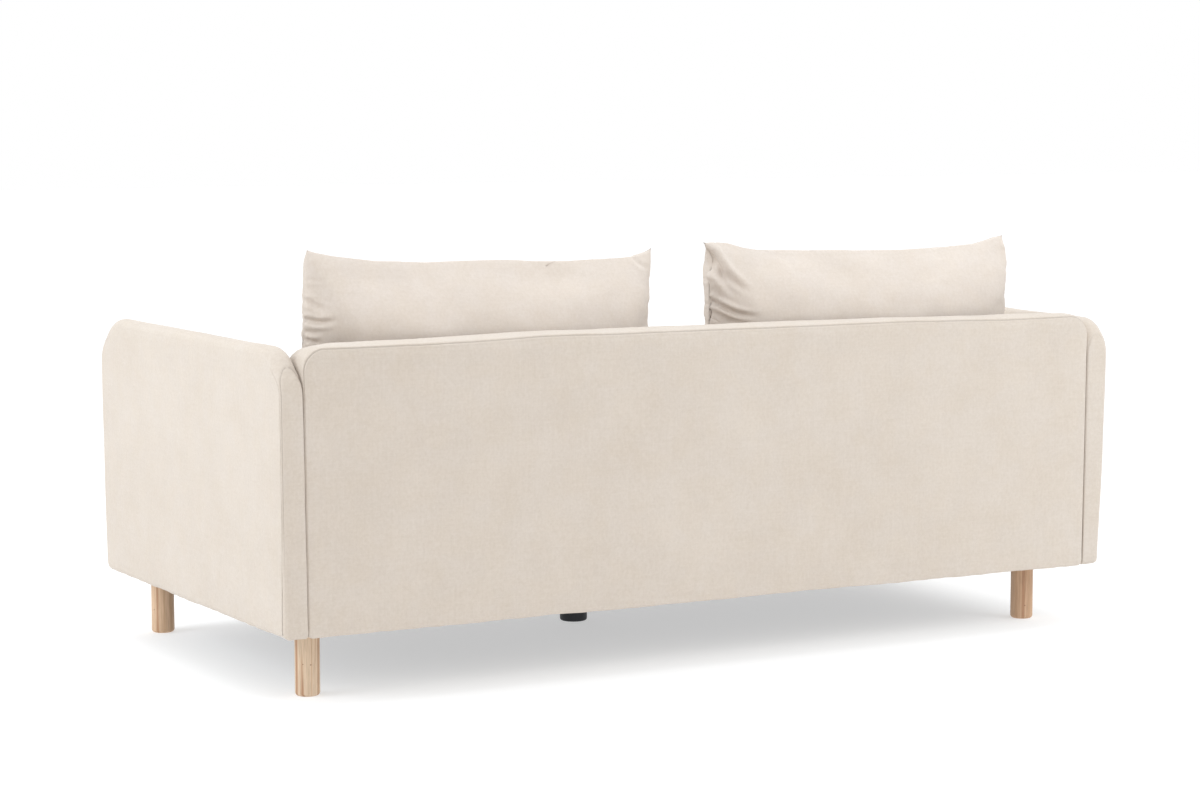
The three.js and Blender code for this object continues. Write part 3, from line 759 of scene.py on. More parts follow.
def make_back(cloth):
    low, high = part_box("back_cover")
    middle = (low.y + high.y) / 2
    half = (high.y - low.y) / 2 - BACK_FACE_INSET
    radii = (BACK_BOTTOM_RADIUS, BACK_BOTTOM_RADIUS, BACK_CORNER_RADIUS, BACK_CORNER_RADIUS)
    focus = {
        "high": [(0.98, 0.05, 4)],
        "top": [(0.01, 0.05, 4), (0.99, 0.05, 4)],
        "low": [(0.02, 0.05, 4)],
    }
    top = high.z - BACK_CROWN
    sides = outline_sides(low.x, high.x, low.z, top, radii, (230, 80), focus)

    def roundness(loop, sign):
        upper = smoothstep(loop[:, 1], top - 0.05, top - 0.01)
        return BACK_EDGE_SIDE + upper * (BACK_EDGE_TOP - BACK_EDGE_SIDE)

    def tuck(loop, place):
        upper = smoothstep(loop[:, 1], high.z - 0.11, high.z - 0.03)
        crown = np.cos(np.clip(place, -1, 1) * math.pi / 2) ** 0.8
        to_side = smoothstep(np.abs(loop[:, 0]), high.x - 0.10, high.x - 0.012)
        to_top = smoothstep(loop[:, 1], top - 0.10, top - 0.012)
        front = smoothstep(-place, -0.5, 1.0)
        return BACK_FRONT_DROP * to_side * to_top * front - BACK_CROWN * upper * crown

    slab = Slab(sides, half, roundness, 10, face_swell=0.004, tuck=tuck)

    def to_world(local):
        height = (local[:, 1] - low.z) / (high.z - low.z)
        spread = np.interp(height, (0, 1), BACK_SIDES) / high.x
        hem = np.interp(local[:, 0], (low.x, high.x), BACK_HEM) * (1 - smoothstep(height, 0, 0.5))
        crest = blended(local[:, 0], BACK_CREST) * MM * smoothstep(height, 0.75, 1.0)
        z = local[:, 1] - hem + crest
        return np.column_stack([local[:, 0] * (1 + spread), middle + local[:, 2], z])

    back = slab.build("upholstered_back", cloth, to_world)
    seams = []
    for step in (Slab.ARC_STEPS // 2, slab.rings() - 1 - Slab.ARC_STEPS // 2):
        ring = slab.ring(step)
        start = int(np.argmin(ring[:, 1]))
        ring = np.roll(ring, -start, 0)
        seams.append(to_world(densify(ring[ring[:, 1] > low.z + 0.012])))
    for line in seams:
        # Painted shade along the seams, stronger towards the top.
        upper = smoothstep(line[:, 2], high.z - 0.16, high.z - 0.04)
        press_seam(back, line, 0.0009 + 0.0010 * upper, SEAM_WIDTH, 0.08 + 0.36 * upper)
    points = points_of(back)
    swell = unevenness(points, 0.22, 0.0024, 21) + unevenness(points, 0.07, 0.0007, 22)
    inward = 1 - smoothstep(np.abs(points[:, 0]), high.x - 0.012, high.x - 0.002)
    points += normals_of(back) * (swell * inward)[:, None]
    tucks = hem_pleats(points, low.z, 0.02, 0.0012, 23)
    for line, seed in zip(seams, (24, 25)):
        tucks += pleats(points, line, 0.016, 0.0006, seed)
    move_points(back, points + normals_of(back) * tucks[:, None])
    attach(back, "frame")
    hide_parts("back_cover", "back_foam")


# ---- Seat base ---------------------------------------------------------------

BASE_RADII = (0.007, 0.006, 0.006, 0.007)  # front bottom, rear bottom, rear top, front top
BASE_EDGE = 0.004
BASE_END_GAP = 0.002
HEM_WIDTH = 0.026  # cloth turned under the base, round the dust cover
HEM_DEPTH = 0.0034
DECK_SEAM_SETBACK = 0.085


def make_seat_base(cloth):
    low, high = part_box("seat_base_cover")
    sides = outline_sides(low.y, high.y, low.z, high.z, BASE_RADII, (90, 26))
    slab = Slab(sides, high.x - BASE_END_GAP, lambda loop, sign: np.full(len(loop), BASE_EDGE), 150)

    def to_world(local):
        return np.column_stack([local[:, 2], local[:, 0], local[:, 1]])

    base = slab.build("upholstered_seat_base", cloth, to_world)
    points = points_of(base)
    swell = unevenness(points, 0.12, 0.0012, 31)
    between_arms = np.abs(points[:, 0]) < high.x - 0.02
    points += normals_of(base) * (swell * between_arms)[:, None]
    underside = points[:, 2] < low.z + 0.003
    inside = underside & (np.abs(points[:, 0]) < high.x - HEM_WIDTH)
    inside &= (points[:, 1] > low.y + HEM_WIDTH) & (points[:, 1] < high.y - HEM_WIDTH)
    points[underside, 2] = np.maximum(points[underside, 2], low.z)
    points[inside, 2] = low.z + HEM_DEPTH
    move_points(base, points)
    seam_y = low.y + DECK_SEAM_SETBACK
    seam_x = np.arange(-high.x + 0.03, high.x - 0.03, 0.004)
    seam = np.column_stack([seam_x, np.full_like(seam_x, seam_y), np.full_like(seam_x, high.z)])
    # A faint painted shade along the deck seam, on top of its groove.
    press_seam(base, seam, 0.0012, 0.006, 0.07)
    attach(base, "frame")
    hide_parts("seat_base_cover")


# ---- Cushions: cloth simulation ----------------------------------------------


def inflate(piece, pressure, frames, bending, tension):
    scene = bpy.context.scene
    modifier = piece.modifiers.new("cloth", "CLOTH")
    settings = modifier.settings
    settings.quality = 5
    settings.mass = 0.25
    settings.air_damping = 2.0
    settings.tension_stiffness = tension
    settings.compression_stiffness = tension
    settings.shear_stiffness = tension * 0.35
    settings.tension_damping = settings.compression_damping = 8
    settings.bending_stiffness = bending
    settings.use_pressure = True
    settings.uniform_pressure_force = pressure
    settings.effector_weights.gravity = 0
    modifier.collision_settings.use_collision = False
    modifier.point_cache.frame_start = 1
    modifier.point_cache.frame_end = frames
    for step in range(1, frames + 1):
        scene.frame_set(step)
    bake_modifiers(piece)
    scene.frame_set(1)


def sheet_grid(columns, rows, start):
    index = start + np.arange((columns + 1) * (rows + 1)).reshape(columns + 1, rows + 1)
    square = [index[:-1, :-1], index[1:, :-1], index[1:, 1:], index[:-1, 1:]]
    return index, np.stack(square, -1).reshape(-1, 4)


PILLOW_LOFT = 0.012  # half its thickness in the middle, before it is filled


def pillow_case(name, width, height, columns, rows, cloth):
    """Two panels sewn together all round, laid nearly flat in X and Z."""
    u, v = np.meshgrid(np.linspace(-1, 1, columns + 1), np.linspace(-1, 1, rows + 1), indexing="ij")
    rim = (np.abs(u) == 1) | (np.abs(v) == 1)
    front_index, front_faces = sheet_grid(columns, rows, 0)
    rear_index = front_index.copy()
    rear_index[~rim] = (columns + 1) * (rows + 1) + np.arange((~rim).sum())
    rear_faces = np.stack(
        [rear_index[:-1, :-1], rear_index[:-1, 1:], rear_index[1:, 1:], rear_index[1:, :-1]], -1
    ).reshape(-1, 4)
    loft = PILLOW_LOFT * (1 - u**2) * (1 - v**2)
    front = np.stack([u * width / 2, -loft, v * height / 2], -1).reshape(-1, 3)
    rear = np.stack([u * width / 2, loft, v * height / 2], -1)[~rim]
    piece = make_object(
        name, np.concatenate([front, rear]), np.concatenate([front_faces, rear_faces]), cloth
    )
    corners = np.stack([u, v], -1)
    places = np.concatenate([corners.reshape(-1, 2), corners[~rim]])
    return piece, front_index, places[:, 0], places[:, 1]


# ---- Back cushions -----------------------------------------------------------

BACK_CUSHION_LEAN = 4.0  # degrees, top towards the back
BACK_CUSHION_THICKNESS = 0.185
BACK_CUSHION_GIVE = 0.018  # how far up its bottom is pressed together by its weight
REAR_FULLNESS = 0.115  # the most that each panel stands out from the seams' plane
FRONT_FULLNESS = 0.150
REAR_SLOPE = 0.82  # how fast it may do so below the top seam
FRONT_SLOPE = 0.85
REAR_PLUMPNESS = 1.28  # above 1, the panel comes closer to those limits
SEAM_THICKNESS = 0.003
EASE = (1.05, 1.15)  # how much wider and higher the flat cloth is than the cushion's space
TOP_DRAW = 0.012
BACK_CUSHION_COLUMNS = 84
BACK_CUSHION_ROWS = 50

# Height of the top seam along each cushion: (place from -1 to 1 along X, metres above the floor).
TOP_SEAMS = {
    "left": (
        (-1.0, 0.8300), (-0.90, 0.8130), (-0.82, 0.8075), (-0.50, 0.8045), (-0.30, 0.8058),
        (-0.12, 0.8105), (0.12, 0.8110), (0.32, 0.8098), (0.60, 0.8154), (0.84, 0.8275),
        (0.93, 0.8350), (1.0, 0.8440),
    ),
    "right": (
        (-1.0, 0.8330), (-0.94, 0.8300), (-0.87, 0.8220), (-0.78, 0.8140), (-0.60, 0.8098),
        (-0.30, 0.8060), (0.0, 0.8078), (0.45, 0.8128), (0.64, 0.8152), (0.74, 0.8210),
        (0.83, 0.8310), (0.90, 0.8332), (1.0, 0.8350),
    ),
}

# The side seams: (place from -1 at the bottom to 1 at the top, millimetres inside the
# cushion's space, millimetres by which the panels swell out beside the seam).
SIDE_SEAMS = {
    ("left", 1): (
        (-1.0, 8, 20), (0.2, 6.0, 8), (0.4, 6.5, 20), (0.6, 5, 17), (0.8, 4, 6), (0.9, 4, 2),
        (1.0, 9, 0),
    ),
    ("left", -1): (
        (-1.0, 4, 20), (0.25, 3.5, 12), (0.6, 4, 12), (0.75, 2, 11), (0.87, -1, 7), (1.0, -3, 0),
    ),
    ("right", 1): (
        (-1.0, 20, 25), (0.2, 28, 28), (0.4, 29, 32), (0.54, 25, 38), (0.66, 25, 44),
        (0.76, 27, 46), (0.84, 21, 34), (0.92, 12, 17), (1.0, 4, 0),
    ),
    ("right", -1): (
        (-1.0, 2, 20), (0.3, -3, 26), (0.5, -3, 30), (0.7, -5, 28), (0.85, -5, 22), (0.92, -4, 10),
        (1.0, -3, 0),
    ),
}

# Folds in the rear panels. Each runs from one place to another, in metres: first from
# the cushion's left or right side inwards, then down from FOLD_TOP.
# The last two values are its depth and width in millimetres.
FOLD_TOP = 0.838
FOLDS = {
    "left": (
        ("left", (0.008, 0.094), (0.040, 0.112), 2.5, 5),
        ("left", (0.008, 0.131), (0.050, 0.130), 5.0, 5),
        ("left", (0.008, 0.154), (0.030, 0.152), 2.5, 4),
        ("left", (0.008, 0.168), (0.030, 0.172), 2.5, 4),
        ("right", (0.044, 0.031), (0.012, 0.054), 1.8, 5),
        ("left", (0.180, 0.090), (0.330, 0.120), 2.0, 26),
        ("right", (0.200, 0.060), (0.330, 0.090), 2.0, 24),
    ),
    "right": (
        ("left", (0.022, 0.030), (0.090, 0.108), 11.0, 8),
        ("left", (0.034, 0.066), (0.072, 0.116), 6.0, 6),
        ("left", (0.026, 0.124), (0.104, 0.156), 7.0, 5),
        ("left", (0.032, 0.146), (0.066, 0.168), 3.0, 9),
        ("right", (0.010, 0.040), (0.070, 0.075), 1.5, 12),
        ("left", (0.260, 0.050), (0.400, 0.070), 2.0, 26),
    ),
}
DARK_SEAM = ("right", 1)  # the side seam that its folds pull open, drawn in deepest and with the strongest painted shade

# Depth, width and painted shade of a seam that is pulled open, of the other side seams, and of
# the seam all round.
OPEN_SEAM = (0.0026, 0.0030, 0.95)
SIDE_SEAM = (0.0006, 0.0018, 0.35)
EDGE_SEAM = (0.0003, 0.0016, 0.22)


def side_seam(name, sign, v):
    """Inset and swell beside one side seam, in metres, at each height."""
    table = np.array(SIDE_SEAMS[name, sign])
    return [blended(v, table[:, (0, k)]) * MM for k in (1, 2)]


def settle_outline(points, u, v, grid, name, low, high):
    """Brings the seam to its sewn outline, and the panels with it."""
    middle, half_width = (low.x + high.x) / 2, (high.x - low.x) / 2
    top = grid[:, -1]
    rise = blended((points[top, 0] - middle) / half_width, TOP_SEAMS[name]) - points[top, 2]
    columns = np.round((u + 1) / 2 * (grid.shape[0] - 1)).astype(int)
    points[:, 2] += rise[columns] * smoothstep(v, -0.4, 1.0)
    rows = np.round((v + 1) / 2 * (grid.shape[1] - 1)).astype(int)
    row_places = np.linspace(-1, 1, grid.shape[1])
    for edge, sign in ((grid[0], -1), (grid[-1], 1)):
        inset, _ = side_seam(name, sign, row_places)
        shift = middle + sign * (half_width - inset) - points[edge, 0]
        points[:, 0] += shift[rows] * smoothstep(sign * u, 0.0, 1.0)


def draw_to_seams(points, v, name, low, high):
    """Holds both panels close to the seams, where the filling is thin, and flatter inside.

    The seam lies in the plane y = 0.
    """
    middle, half_width = (low.x + high.x) / 2, (high.x - low.x) / 2
    room = np.where(points[:, 1] > 0, REAR_FULLNESS, FRONT_FULLNESS)
    panel = np.sign(points[:, 1])
    push = np.zeros(len(points))
    for sign in (1, -1):
        inset, swell = side_seam(name, sign, v)
        seam_x = middle + sign * (half_width - inset)
        inside = np.clip(sign * (seam_x - points[:, 0]), 0, None)
        # The panel that turns round this side stands out beside the seam.
        full = np.where(panel == -sign, swell, 0.35 * swell)
        inside *= 1 - np.minimum(0.75, full / 0.035) * np.exp(-inside / 0.022)
        rise = full * (1 - np.exp(-inside / 0.0015))
        push = np.maximum(push, rise * np.exp(-inside / 0.06))
        room = np.minimum(room, SEAM_THICKNESS + rise + 1.25 * inside)
        points[:, 0] = seam_x - sign * inside
    crest = blended((points[:, 0] - middle) / half_width, TOP_SEAMS[name])
    below = np.clip(crest - points[:, 2], 0, None)
    slope = np.where(panel > 0, REAR_SLOPE, FRONT_SLOPE)
    plump = np.where(panel > 0, REAR_PLUMPNESS, 1.0)
    room = np.minimum(room, SEAM_THICKNESS + slope * below)
    depth = room * np.tanh(plump * np.abs(points[:, 1]) / room)
    points[:, 1] = panel * np.maximum(depth, np.minimum(push, room))
    points[:, 2] = np.minimum(points[:, 2], crest - 0.12 * np.abs(points[:, 1]))


def fold_cloth(piece, name, low, high, seam_y):
    """Presses the sewn-in folds into the rear panel."""
    points = points_of(piece)
    normals = normals_of(piece)
    press = np.zeros(len(points))
    for side, start, end, depth, width in FOLDS[name]:
        origin = high.x if side == "left" else low.x
        sign = -1 if side == "left" else 1
        a = np.array([origin + sign * start[0], FOLD_TOP - start[1]])
        b = np.array([origin + sign * end[0], FOLD_TOP - end[1]])
        along = b - a
        length = np.linalg.norm(along)
        along /= length
        offset = points[:, (0, 2)] - a
        reach = offset @ along / length
        bend = 0.10 * length * np.sin(np.clip(reach, 0, 1) * math.pi)
        across = np.abs(offset @ np.array([-along[1], along[0]]) - bend) / (width * MM)
        fade = smoothstep(reach, -0.25, 0.1) * (1 - smoothstep(reach, 0.35, 1.1))
        valley = np.exp(-(across**2)) - 0.55 * np.exp(-((across - 1.9) ** 2))
        press += depth * MM * fade * valley
    rear = smoothstep(points[:, 1], seam_y, seam_y + 0.012)
    move_points(piece, points - normals * (press * rear)[:, None])


def seam_puckers(piece, line, reach, height, seed):
    """Short gathers that run away from a seam at right angles to it."""
    points = points_of(piece)
    nearest, distance = nearest_on(line, points)
    values = np.zeros(len(points))
    for i in np.where(distance < 2.5 * reach)[0]:
        place = Vector(line[nearest[i]])
        wave = noise.noise(place * 62 + Vector((seed, 0, seed)))
        wave += 0.5 * noise.noise(place * 140 + Vector((0, seed, 0)))
        fade = smoothstep(distance[i], 0.003, 0.012) * math.exp(-((distance[i] / reach) ** 2))
        values[i] = wave * fade * height
    move_points(piece, points + normals_of(piece) * values[:, None])


def make_back_cushion(name, cloth, seed):
    low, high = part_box(f"back_cushion_cover_{name}")
    width, height = high.x - low.x, high.z - low.z
    columns, rows = BACK_CUSHION_COLUMNS, BACK_CUSHION_ROWS
    piece, grid, u, v = pillow_case(
        f"back_cushion_{name}", width * EASE[0], height * EASE[1], columns, rows, cloth
    )
    points = points_of(piece)
    points[:, 1] += unevenness(points, 0.09, 0.004, seed)
    move_points(piece, points)
    frames = 26
    inflate(piece, pressure=4.5, frames=frames, bending=0.35, tension=12)
    points = points_of(piece)
    size = points.max(0) - points.min(0)
    points *= np.array([width, BACK_CUSHION_THICKNESS, height + TOP_DRAW]) / size
    middle = (low.x + high.x) / 2
    points[:, 0] += middle - (points[:, 0].max() + points[:, 0].min()) / 2
    points[:, 2] += high.z - points[:, 2].max()
    settle_outline(points, u, v, grid, name, low, high)
    draw_to_seams(points, v, name, low, high)
    lean = math.tan(math.radians(BACK_CUSHION_LEAN))
    points[:, 1] += (low.y + high.y) / 2 + (points[:, 2] - (low.z + high.z) / 2) * lean
    # It stands on the seat cushion, and gives a little there.
    depth = np.clip(low.z + BACK_CUSHION_GIVE - points[:, 2], 0, None)
    points[:, 2] += depth - BACK_CUSHION_GIVE * (1 - np.exp(-depth / BACK_CUSHION_GIVE))
    points[:, 2] = np.maximum(points[:, 2], low.z + 0.0005)
    move_points(piece, points)
    rim = np.concatenate([grid[0], grid[1:, -1], grid[-1, -2::-1], grid[-2::-1, 0]])
    sharpen(piece, rim, 0.7)
    seam = densify(points[rim])
    subdivide(piece, 2)
    fine = points_of(piece)
    swell = unevenness(fine, 0.13, 0.007, seed + 1) + unevenness(fine, 0.045, 0.0014, seed + 2)
    from_seam = smoothstep(nearest_on(seam, fine)[1], 0.0, 0.05)
    free = smoothstep(fine[:, 2], low.z + 0.01, low.z + 0.07) * from_seam
    move_points(piece, fine + normals_of(piece) * (swell * free)[:, None])
    fold_cloth(piece, name, low, high, (low.y + high.y) / 2)
    below_ear = seam[:, 2] < seam[:, 2].max() - 0.05
    for sign in (1, -1):
        on_side = sign * (seam[:, 0] - middle) > width / 2 - 0.035
        seam_puckers(piece, seam[on_side & below_ear], 0.030, 0.0026, seed + 3 + sign)
        line = seam[on_side & (seam[:, 2] > low.z + 0.05)]
        # Painted shade along the side seams here, and all round the cushion below.
        press_seam(piece, line, *(OPEN_SEAM if (name, sign) == DARK_SEAM else SIDE_SEAM))
    press_seam(piece, seam, *EDGE_SEAM)
    smooth_shaded(piece.data)
    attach(piece, f"back_cushion_{name}")
    nodes = [f"back_cushion_{part}_{name}" for part in ("cover", "core", "zip")]
    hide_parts(*nodes)


# ---- Seat cushions -----------------------------------------------------------

SEAT_CUSHION_COLUMNS = 44
SEAT_CUSHION_ROWS = 42
SEAT_CUSHION_LAYERS = 8
SEAT_CORNER_RADIUS = 0.024
SEAT_SIDE_SWELL = 0.008  # how far the strip round a cushion swells out
SEAT_TOP_SWELL = 0.024  # how far its top panel rises over its seam
SEAT_FLAT_SHARE = 0.15  # how much of that the panel underneath, which lies flat, keeps
SEAT_SEAM_INSET = 0.0095  # the seams, inside the cushion's space
SEAT_HEIGHT_EASE = 0.022  # how much lower the empty cloth is than that space
SEAT_ROOM = 0.030  # the top panel bends back over this height, below its ceiling
SEAT_LIFT = 0.0006  # a hair's breadth between the cushion and what it lies on
WELT_RADIUS = 0.0024


def rim_of(index):
    """The points round the edge of a grid, in order."""
    return np.concatenate([index[:-1, 0], index[-1, :-1], index[:0:-1, -1], index[0, :0:-1]])


def box_cushion(name, size, cloth):
    """A box of cloth: top and bottom panels joined by a strip with a seam at each edge."""
    width, depth, height = size
    columns, rows, layers = SEAT_CUSHION_COLUMNS, SEAT_CUSHION_ROWS, SEAT_CUSHION_LAYERS
    across = np.linspace(-width / 2, width / 2, columns + 1)
    along = np.linspace(-depth / 2, depth / 2, rows + 1)
    x, y = np.meshgrid(across, along, indexing="ij")
    top, top_faces = sheet_grid(columns, rows, 0)
    bottom, bottom_faces = sheet_grid(columns, rows, top.size)
    levels = (height / 2, -height / 2)
    points = [np.stack([x, y, np.full_like(x, z)], -1).reshape(-1, 3) for z in levels]
    faces = [top_faces, bottom_faces[:, ::-1]]
    upper, lower = rim_of(top), rim_of(bottom)
    flat = points[0][upper][:, :2]
    start = 2 * top.size
    rings = [upper]
    for layer in range(1, layers):
        z = height * (0.5 - layer / layers)
        points.append(np.column_stack([flat, np.full(len(flat), z)]))
        rings.append(start + np.arange(len(flat)))
        start += len(flat)
    rings.append(lower)
    for a, b in zip(rings[:-1], rings[1:]):
        faces.append(np.stack([b, np.roll(b, -1), np.roll(a, -1), a], 1))
    piece = make_object(name, np.concatenate(points), np.concatenate(faces), cloth)
    return piece, upper, lower


def round_corners(points, half, radius):
    """Brings the four upright corners of a box of points to a radius."""
    for sx in (1, -1):
        for sy in (1, -1):
            corner = np.array([sx * (half[0] - radius), sy * (half[1] - radius)])
            offset = (points[:, :2] - corner) * (sx, sy)
            outside = (offset > 0).all(1)
            # A square's points go to the quarter circle inside it.
            u, v = offset[outside, 0] / radius, offset[outside, 1] / radius
            disc = np.stack([u * np.sqrt(1 - v**2 / 2), v * np.sqrt(1 - u**2 / 2)], 1) * radius
            points[outside, :2] = corner + disc * (sx, sy)
    return points


def piping(name, loop, radius, cloth):
    """A thin welt that follows a closed loop of points."""
    line = np.asarray(loop)
    ahead = np.roll(line, -1, 0) - np.roll(line, 1, 0)
    ahead /= np.linalg.norm(ahead, axis=1)[:, None]
    up = np.tile([0.0, 0.0, 1.0], (len(line), 1))
    out = np.cross(ahead, up)
    out /= np.linalg.norm(out, axis=1)[:, None]
    up = np.cross(out, ahead)
    sides = 8
    rings = []
    for k in range(sides):
        angle = 2 * math.pi * k / sides
        rings.append(line + radius * (math.cos(angle) * out + math.sin(angle) * up))
    points = np.concatenate(rings)
    index = np.arange(len(points)).reshape(sides, -1)
    following = np.roll(index, -1, 0)
    faces = np.stack([index, np.roll(index, -1, 1), np.roll(following, -1, 1), following], -1)
    return make_object(name, points, faces.reshape(-1, 4), cloth)


def softly_limited(shift, cap):
    return cap * np.tanh(shift / cap)


def stuffed_seat(size, cloth):
    """One seat cushion's cloth, filled: a piece centred on its box, and its two seams."""
    start = size - np.array([2 * SEAT_SEAM_INSET, 2 * SEAT_SEAM_INSET, SEAT_HEIGHT_EASE])
    source, upper, lower = box_cushion("seat_cushion_shape", start, cloth)
    flat = round_corners(points_of(source), start / 2, SEAT_CORNER_RADIUS)
    move_points(source, flat)
    move_points(source, flat + normals_of(source) * unevenness(flat, 0.12, 0.0012, 41)[:, None])
    frames = 16
    inflate(source, pressure=4.0, frames=frames, bending=3.0, tension=30)
    shift = points_of(source) - flat
    shift[:, :2] = softly_limited(shift[:, :2], SEAT_SIDE_SWELL)
    shift[:, 2] = softly_limited(shift[:, 2], SEAT_TOP_SWELL)
    under = flat[:, 2] < -start[2] / 2 + 0.001
    shift[under & (shift[:, 2] < 0), 2] *= SEAT_FLAT_SHARE
    points = flat + shift
    # The stitches hold each seam near one height.
    for loop, height in ((upper, start[2] / 2), (lower, -start[2] / 2)):
        points[loop, 2] = height + 0.25 * (points[loop, 2] - height)
    points[:, 2] += -size[2] / 2 + SEAT_LIFT - points[:, 2].min()
    move_points(source, points)
    sharpen(source, np.concatenate([upper, lower]), 0.6)
    return source, upper, lower


def make_seat_cushions(cloth):
    low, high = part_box("seat_cushion_cover_left")
    size = np.array(high) - np.array(low)
    source, upper, lower = stuffed_seat(size, cloth)
    points = points_of(source)
    for name, side in SIDES.items():
        low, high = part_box(f"seat_cushion_cover_{name}")
        middle = (np.array(low) + np.array(high)) / 2
        local = points * np.array([side, 1, 1])
        # The back cushions press its rear down, and its front stands a little proud.
        ceiling = size[2] / 2 + np.interp(local[:, 1], (-0.20, 0.10), (0.005, -0.0005))
        rest = ceiling - SEAT_ROOM
        above = np.clip(local[:, 2] - rest, 0, None)
        pressed = rest + SEAT_ROOM * (1 - np.exp(-above / SEAT_ROOM))
        local[:, 2] = np.where(above > 0, pressed, local[:, 2])
        piece = bpy.data.objects.new(f"seat_cushion_{name}", source.data.copy())
        bpy.context.scene.collection.objects.link(piece)
        move_points(piece, local + middle)
        if side < 0:
            piece.data.flip_normals()
        subdivide(piece, 1)
        moved = points_of(piece)
        uneven = unevenness(moved, 0.1, 0.0012, 43 + side)
        front = smoothstep(-moved[:, 1], -0.10, 0.10)
        front *= smoothstep(moved[:, 2], low.z + 0.02, low.z + 0.05)
        move_points(piece, moved + normals_of(piece) * (uneven * front)[:, None])
        smooth_shaded(piece.data)
        body = f"seat_cushion_{name}"
        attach(piece, body)
        nodes = [f"seat_cushion_{part}_{name}" for part in ("cover", "core", "zip")]
        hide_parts(*nodes)
        for loop, where in ((upper, "top"), (lower, "bottom")):
            line = local[loop]
            if where == "bottom":
                line[:, 2] = -size[2] / 2 + WELT_RADIUS + SEAT_LIFT
            welt = piping(f"seat_cushion_{where}_seam_{name}", line + middle, WELT_RADIUS, cloth)
            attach(welt, body)
    bpy.data.objects.remove(source)


# ---- Legs and foot -----------------------------------------------------------


LATHE_SEGMENTS = 64


def lathe(name, profile, centre, material):
    segments = LATHE_SEGMENTS
    angles = np.arange(segments) * 2 * math.pi / segments
    profile = np.asarray(profile)
    rings = []
    for radius, z in profile:
        circle = [radius * np.cos(angles), radius * np.sin(angles), np.full(segments, z)]
        rings.append(np.stack(circle, 1) + np.array([centre[0], centre[1], 0]))
    ends = [[centre[0], centre[1], profile[0, 1]], [centre[0], centre[1], profile[-1, 1]]]
    points = np.concatenate(rings + [ends])
    index = np.arange(len(profile) * segments).reshape(-1, segments)
    following = np.roll(index, -1, 1)
    faces = np.stack([index[:-1], following[:-1], following[1:], index[1:]], -1)
    faces = faces.reshape(-1, 4).tolist()
    first, last = len(points) - 2, len(points) - 1
    faces += [[first, int(b), int(a)] for a, b in zip(index[0], following[0])]
    faces += [[last, int(a), int(b)] for a, b in zip(index[-1], following[-1])]
    return make_object(name, points, faces, material)


LEG_EDGE = 0.0065  # rounding round the bottom of a leg, and of the foot
FOOT_EDGE = 0.005
POST_TOP = 0.001  # the small bevel hidden at the top


def post_profile(radius, height, edge, rows):
    turn = np.linspace(-math.pi / 2, 0, 8)
    bottom = np.stack([radius - edge + edge * np.cos(turn), edge + edge * np.sin(turn)], 1)
    sides = np.stack([np.full(rows, radius), np.linspace(edge, height - POST_TOP, rows + 1)[1:]], 1)
    return np.concatenate([bottom, sides, [[radius - POST_TOP, height]]])


# Each leg's wood: its tint, dark stripes (angle round the leg in degrees, width, strength)
# and small knots (angle, height, radius). Lengths are in metres.
# The tint is partly the wood's own tone and partly painted shade: the legs other than the rear left
# one, which stand in the sofa's shade, are tinted darker and warmer.
LEG_WOOD = {
    "rear_left": {
        "tint": (0.94, 0.935, 0.93),
        "stripes": ((8, 0.009, 0.80), (126, 0.008, 0.60), (86, 0.003, 0.35)),
        "knots": ((46, 0.063, 0.0016), (82, 0.062, 0.0019)),
    },
    "rear_right": {
        "tint": (0.87, 0.75, 0.68),
        "stripes": ((60, 0.006, 0.5),),
        "knots": ((70, 0.030, 0.0020),),
    },
    "front_left": {
        "tint": (0.92, 0.83, 0.76),
        "stripes": ((40, 0.006, 0.6),),
        "knots": ((20, 0.050, 0.0018),),
    },
    "front_right": {
        "tint": (0.90, 0.86, 0.82),
        "stripes": ((300, 0.007, 0.6),),
        "knots": ((250, 0.075, 0.0020),),
    },
}
PINE_LIGHT = np.array((0.68, 0.520, 0.372))
PINE_DARK = np.array((0.56, 0.395, 0.255))
PINE_STREAK = np.array((0.40, 0.190, 0.090))


def make_legs():
    for name, wood in LEG_WOOD.items():
        low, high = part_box(f"leg_{name}")
        centre = ((low.x + high.x) / 2, (low.y + high.y) / 2)
        radius = (high.x - low.x) / 2

        def at(angle, height):
            turn = math.radians(angle)
            return centre[0] + radius * math.cos(turn), centre[1] + radius * math.sin(turn), height

        colours = [tuple(colour * wood["tint"]) for colour in (PINE_LIGHT, PINE_DARK, PINE_STREAK)]
        stripes = [(at(angle, 0), width, strength) for angle, width, strength in wood["stripes"]]
        knots = [(at(angle, height), size) for angle, height, size in wood["knots"]]
        pine_look = pine(f"leg_pine_{name}", *colours, stripes, knots)
        profile = post_profile(radius, high.z, LEG_EDGE, 10)
        leg = lathe(f"turned_leg_{name}", profile, centre, pine_look)
        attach(leg, "frame")
        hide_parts(f"leg_{name}")
    low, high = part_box("centre_foot")
    centre = ((low.x + high.x) / 2, (low.y + high.y) / 2)
    radius = (high.x - low.x) / 2
    profile = post_profile(radius, high.z, FOOT_EDGE, 6)
    foot = lathe("support_foot", profile, centre, black_plastic())
    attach(foot, "frame")
    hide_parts("centre_foot")


# ---- Finishes of the pieces inside -------------------------------------------


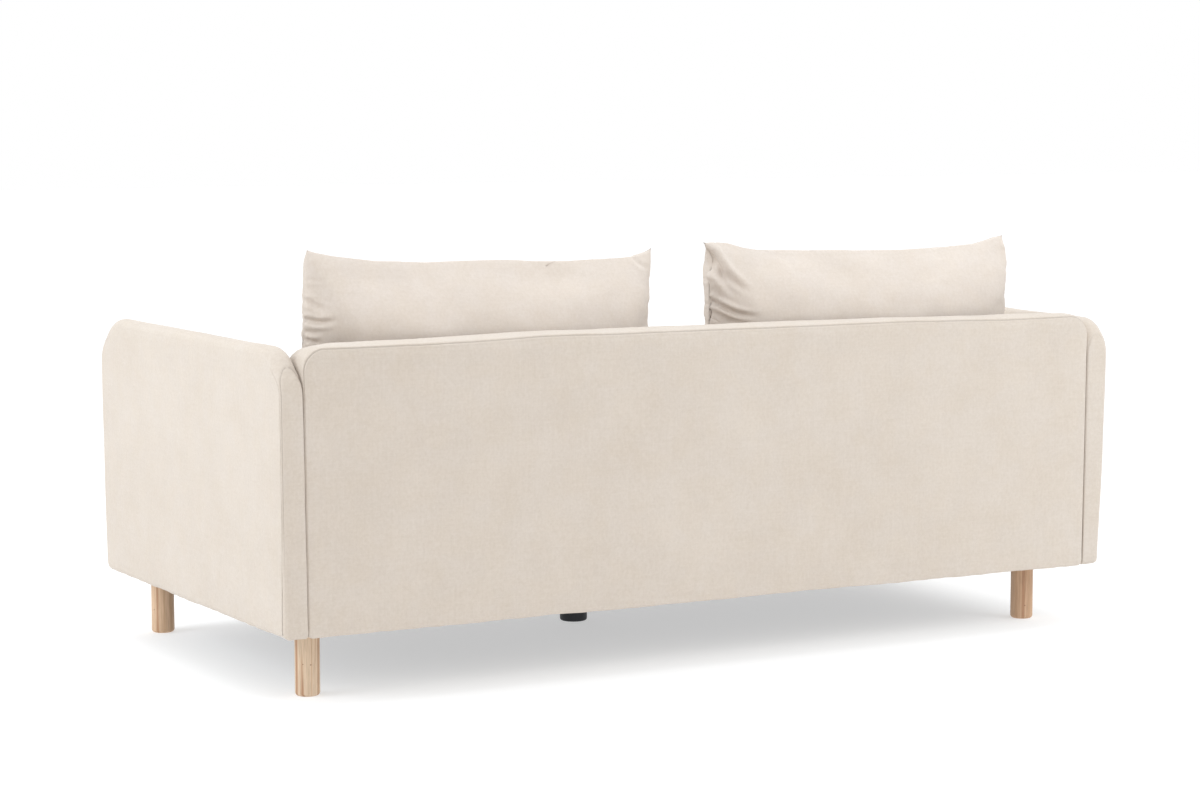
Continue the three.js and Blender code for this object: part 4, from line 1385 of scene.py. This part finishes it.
def finish_inside():
    timber = sawn_timber("frame_timber", (0.74, 0.56, 0.35), (0.58, 0.40, 0.22), (12, 160, 160))
    upright = sawn_timber("frame_upright", (0.74, 0.56, 0.35), (0.58, 0.40, 0.22), (160, 160, 12))
    plywood = sawn_timber("plywood", (0.70, 0.50, 0.30), (0.52, 0.34, 0.18), (60, 9, 90))
    looks = {
        "frame_timber": timber,
        "plywood": plywood,
        "hardboard": speckled("hardboard", (0.30, 0.18, 0.10), (0.20, 0.11, 0.06), 900, 0.8, 0.2),
        "foam": speckled("foam", (0.90, 0.84, 0.64), (0.80, 0.72, 0.50), 800, 0.95, 0.6),
        "felt": speckled("felt", (0.40, 0.40, 0.39), (0.26, 0.26, 0.25), 500, 0.95, 0.8),
        "webbing": speckled("webbing", (0.06, 0.06, 0.065), (0.03, 0.03, 0.032), 700, 0.9, 0.6),
        "lining": speckled("lining", (0.035, 0.035, 0.04), (0.015, 0.015, 0.018), 1200, 0.95, 0.5),
        "zip_nylon": speckled("zip_nylon", (0.74, 0.67, 0.58), (0.66, 0.59, 0.50), 600, 0.5, 0.3),
        "zinc_steel": speckled(
            "zinc_steel", (0.62, 0.63, 0.65), (0.50, 0.51, 0.53), 300, 0.35, 0.1, metallic=1.0
        ),
    }
    slots = {part["node"]: part["material_slot"] for part in frame["record"]["subparts"]}
    for node, piece in frame["nodes"].items():
        look = looks.get(slots[node])
        if look is None:
            continue
        if "post" in node:
            look = upright
        for place in piece.material_slots:
            place.material = look


def main():
    make_camera()
    make_studio()
    cloth = woven_cloth("frame_cloth", (0.617, 0.549, 0.482), (0.560, 0.488, 0.416))
    # Painted light: the cushions' cloth is the frame's fabric made lighter, which brightens the
    # shade that falls on the cushions.
    cushion_cloth_painted_lighter = woven_cloth("cushion_cloth_painted_lighter", (0.676, 0.606, 0.546), (0.620, 0.547, 0.479))
    for name, side in SIDES.items():
        make_arm(name, side, cloth)
    make_back(cloth)
    make_seat_base(cloth)
    make_back_cushion("left", cushion_cloth_painted_lighter, 51)
    make_back_cushion("right", cushion_cloth_painted_lighter, 57)
    make_seat_cushions(cushion_cloth_painted_lighter)
    make_legs()
    finish_inside()


main()
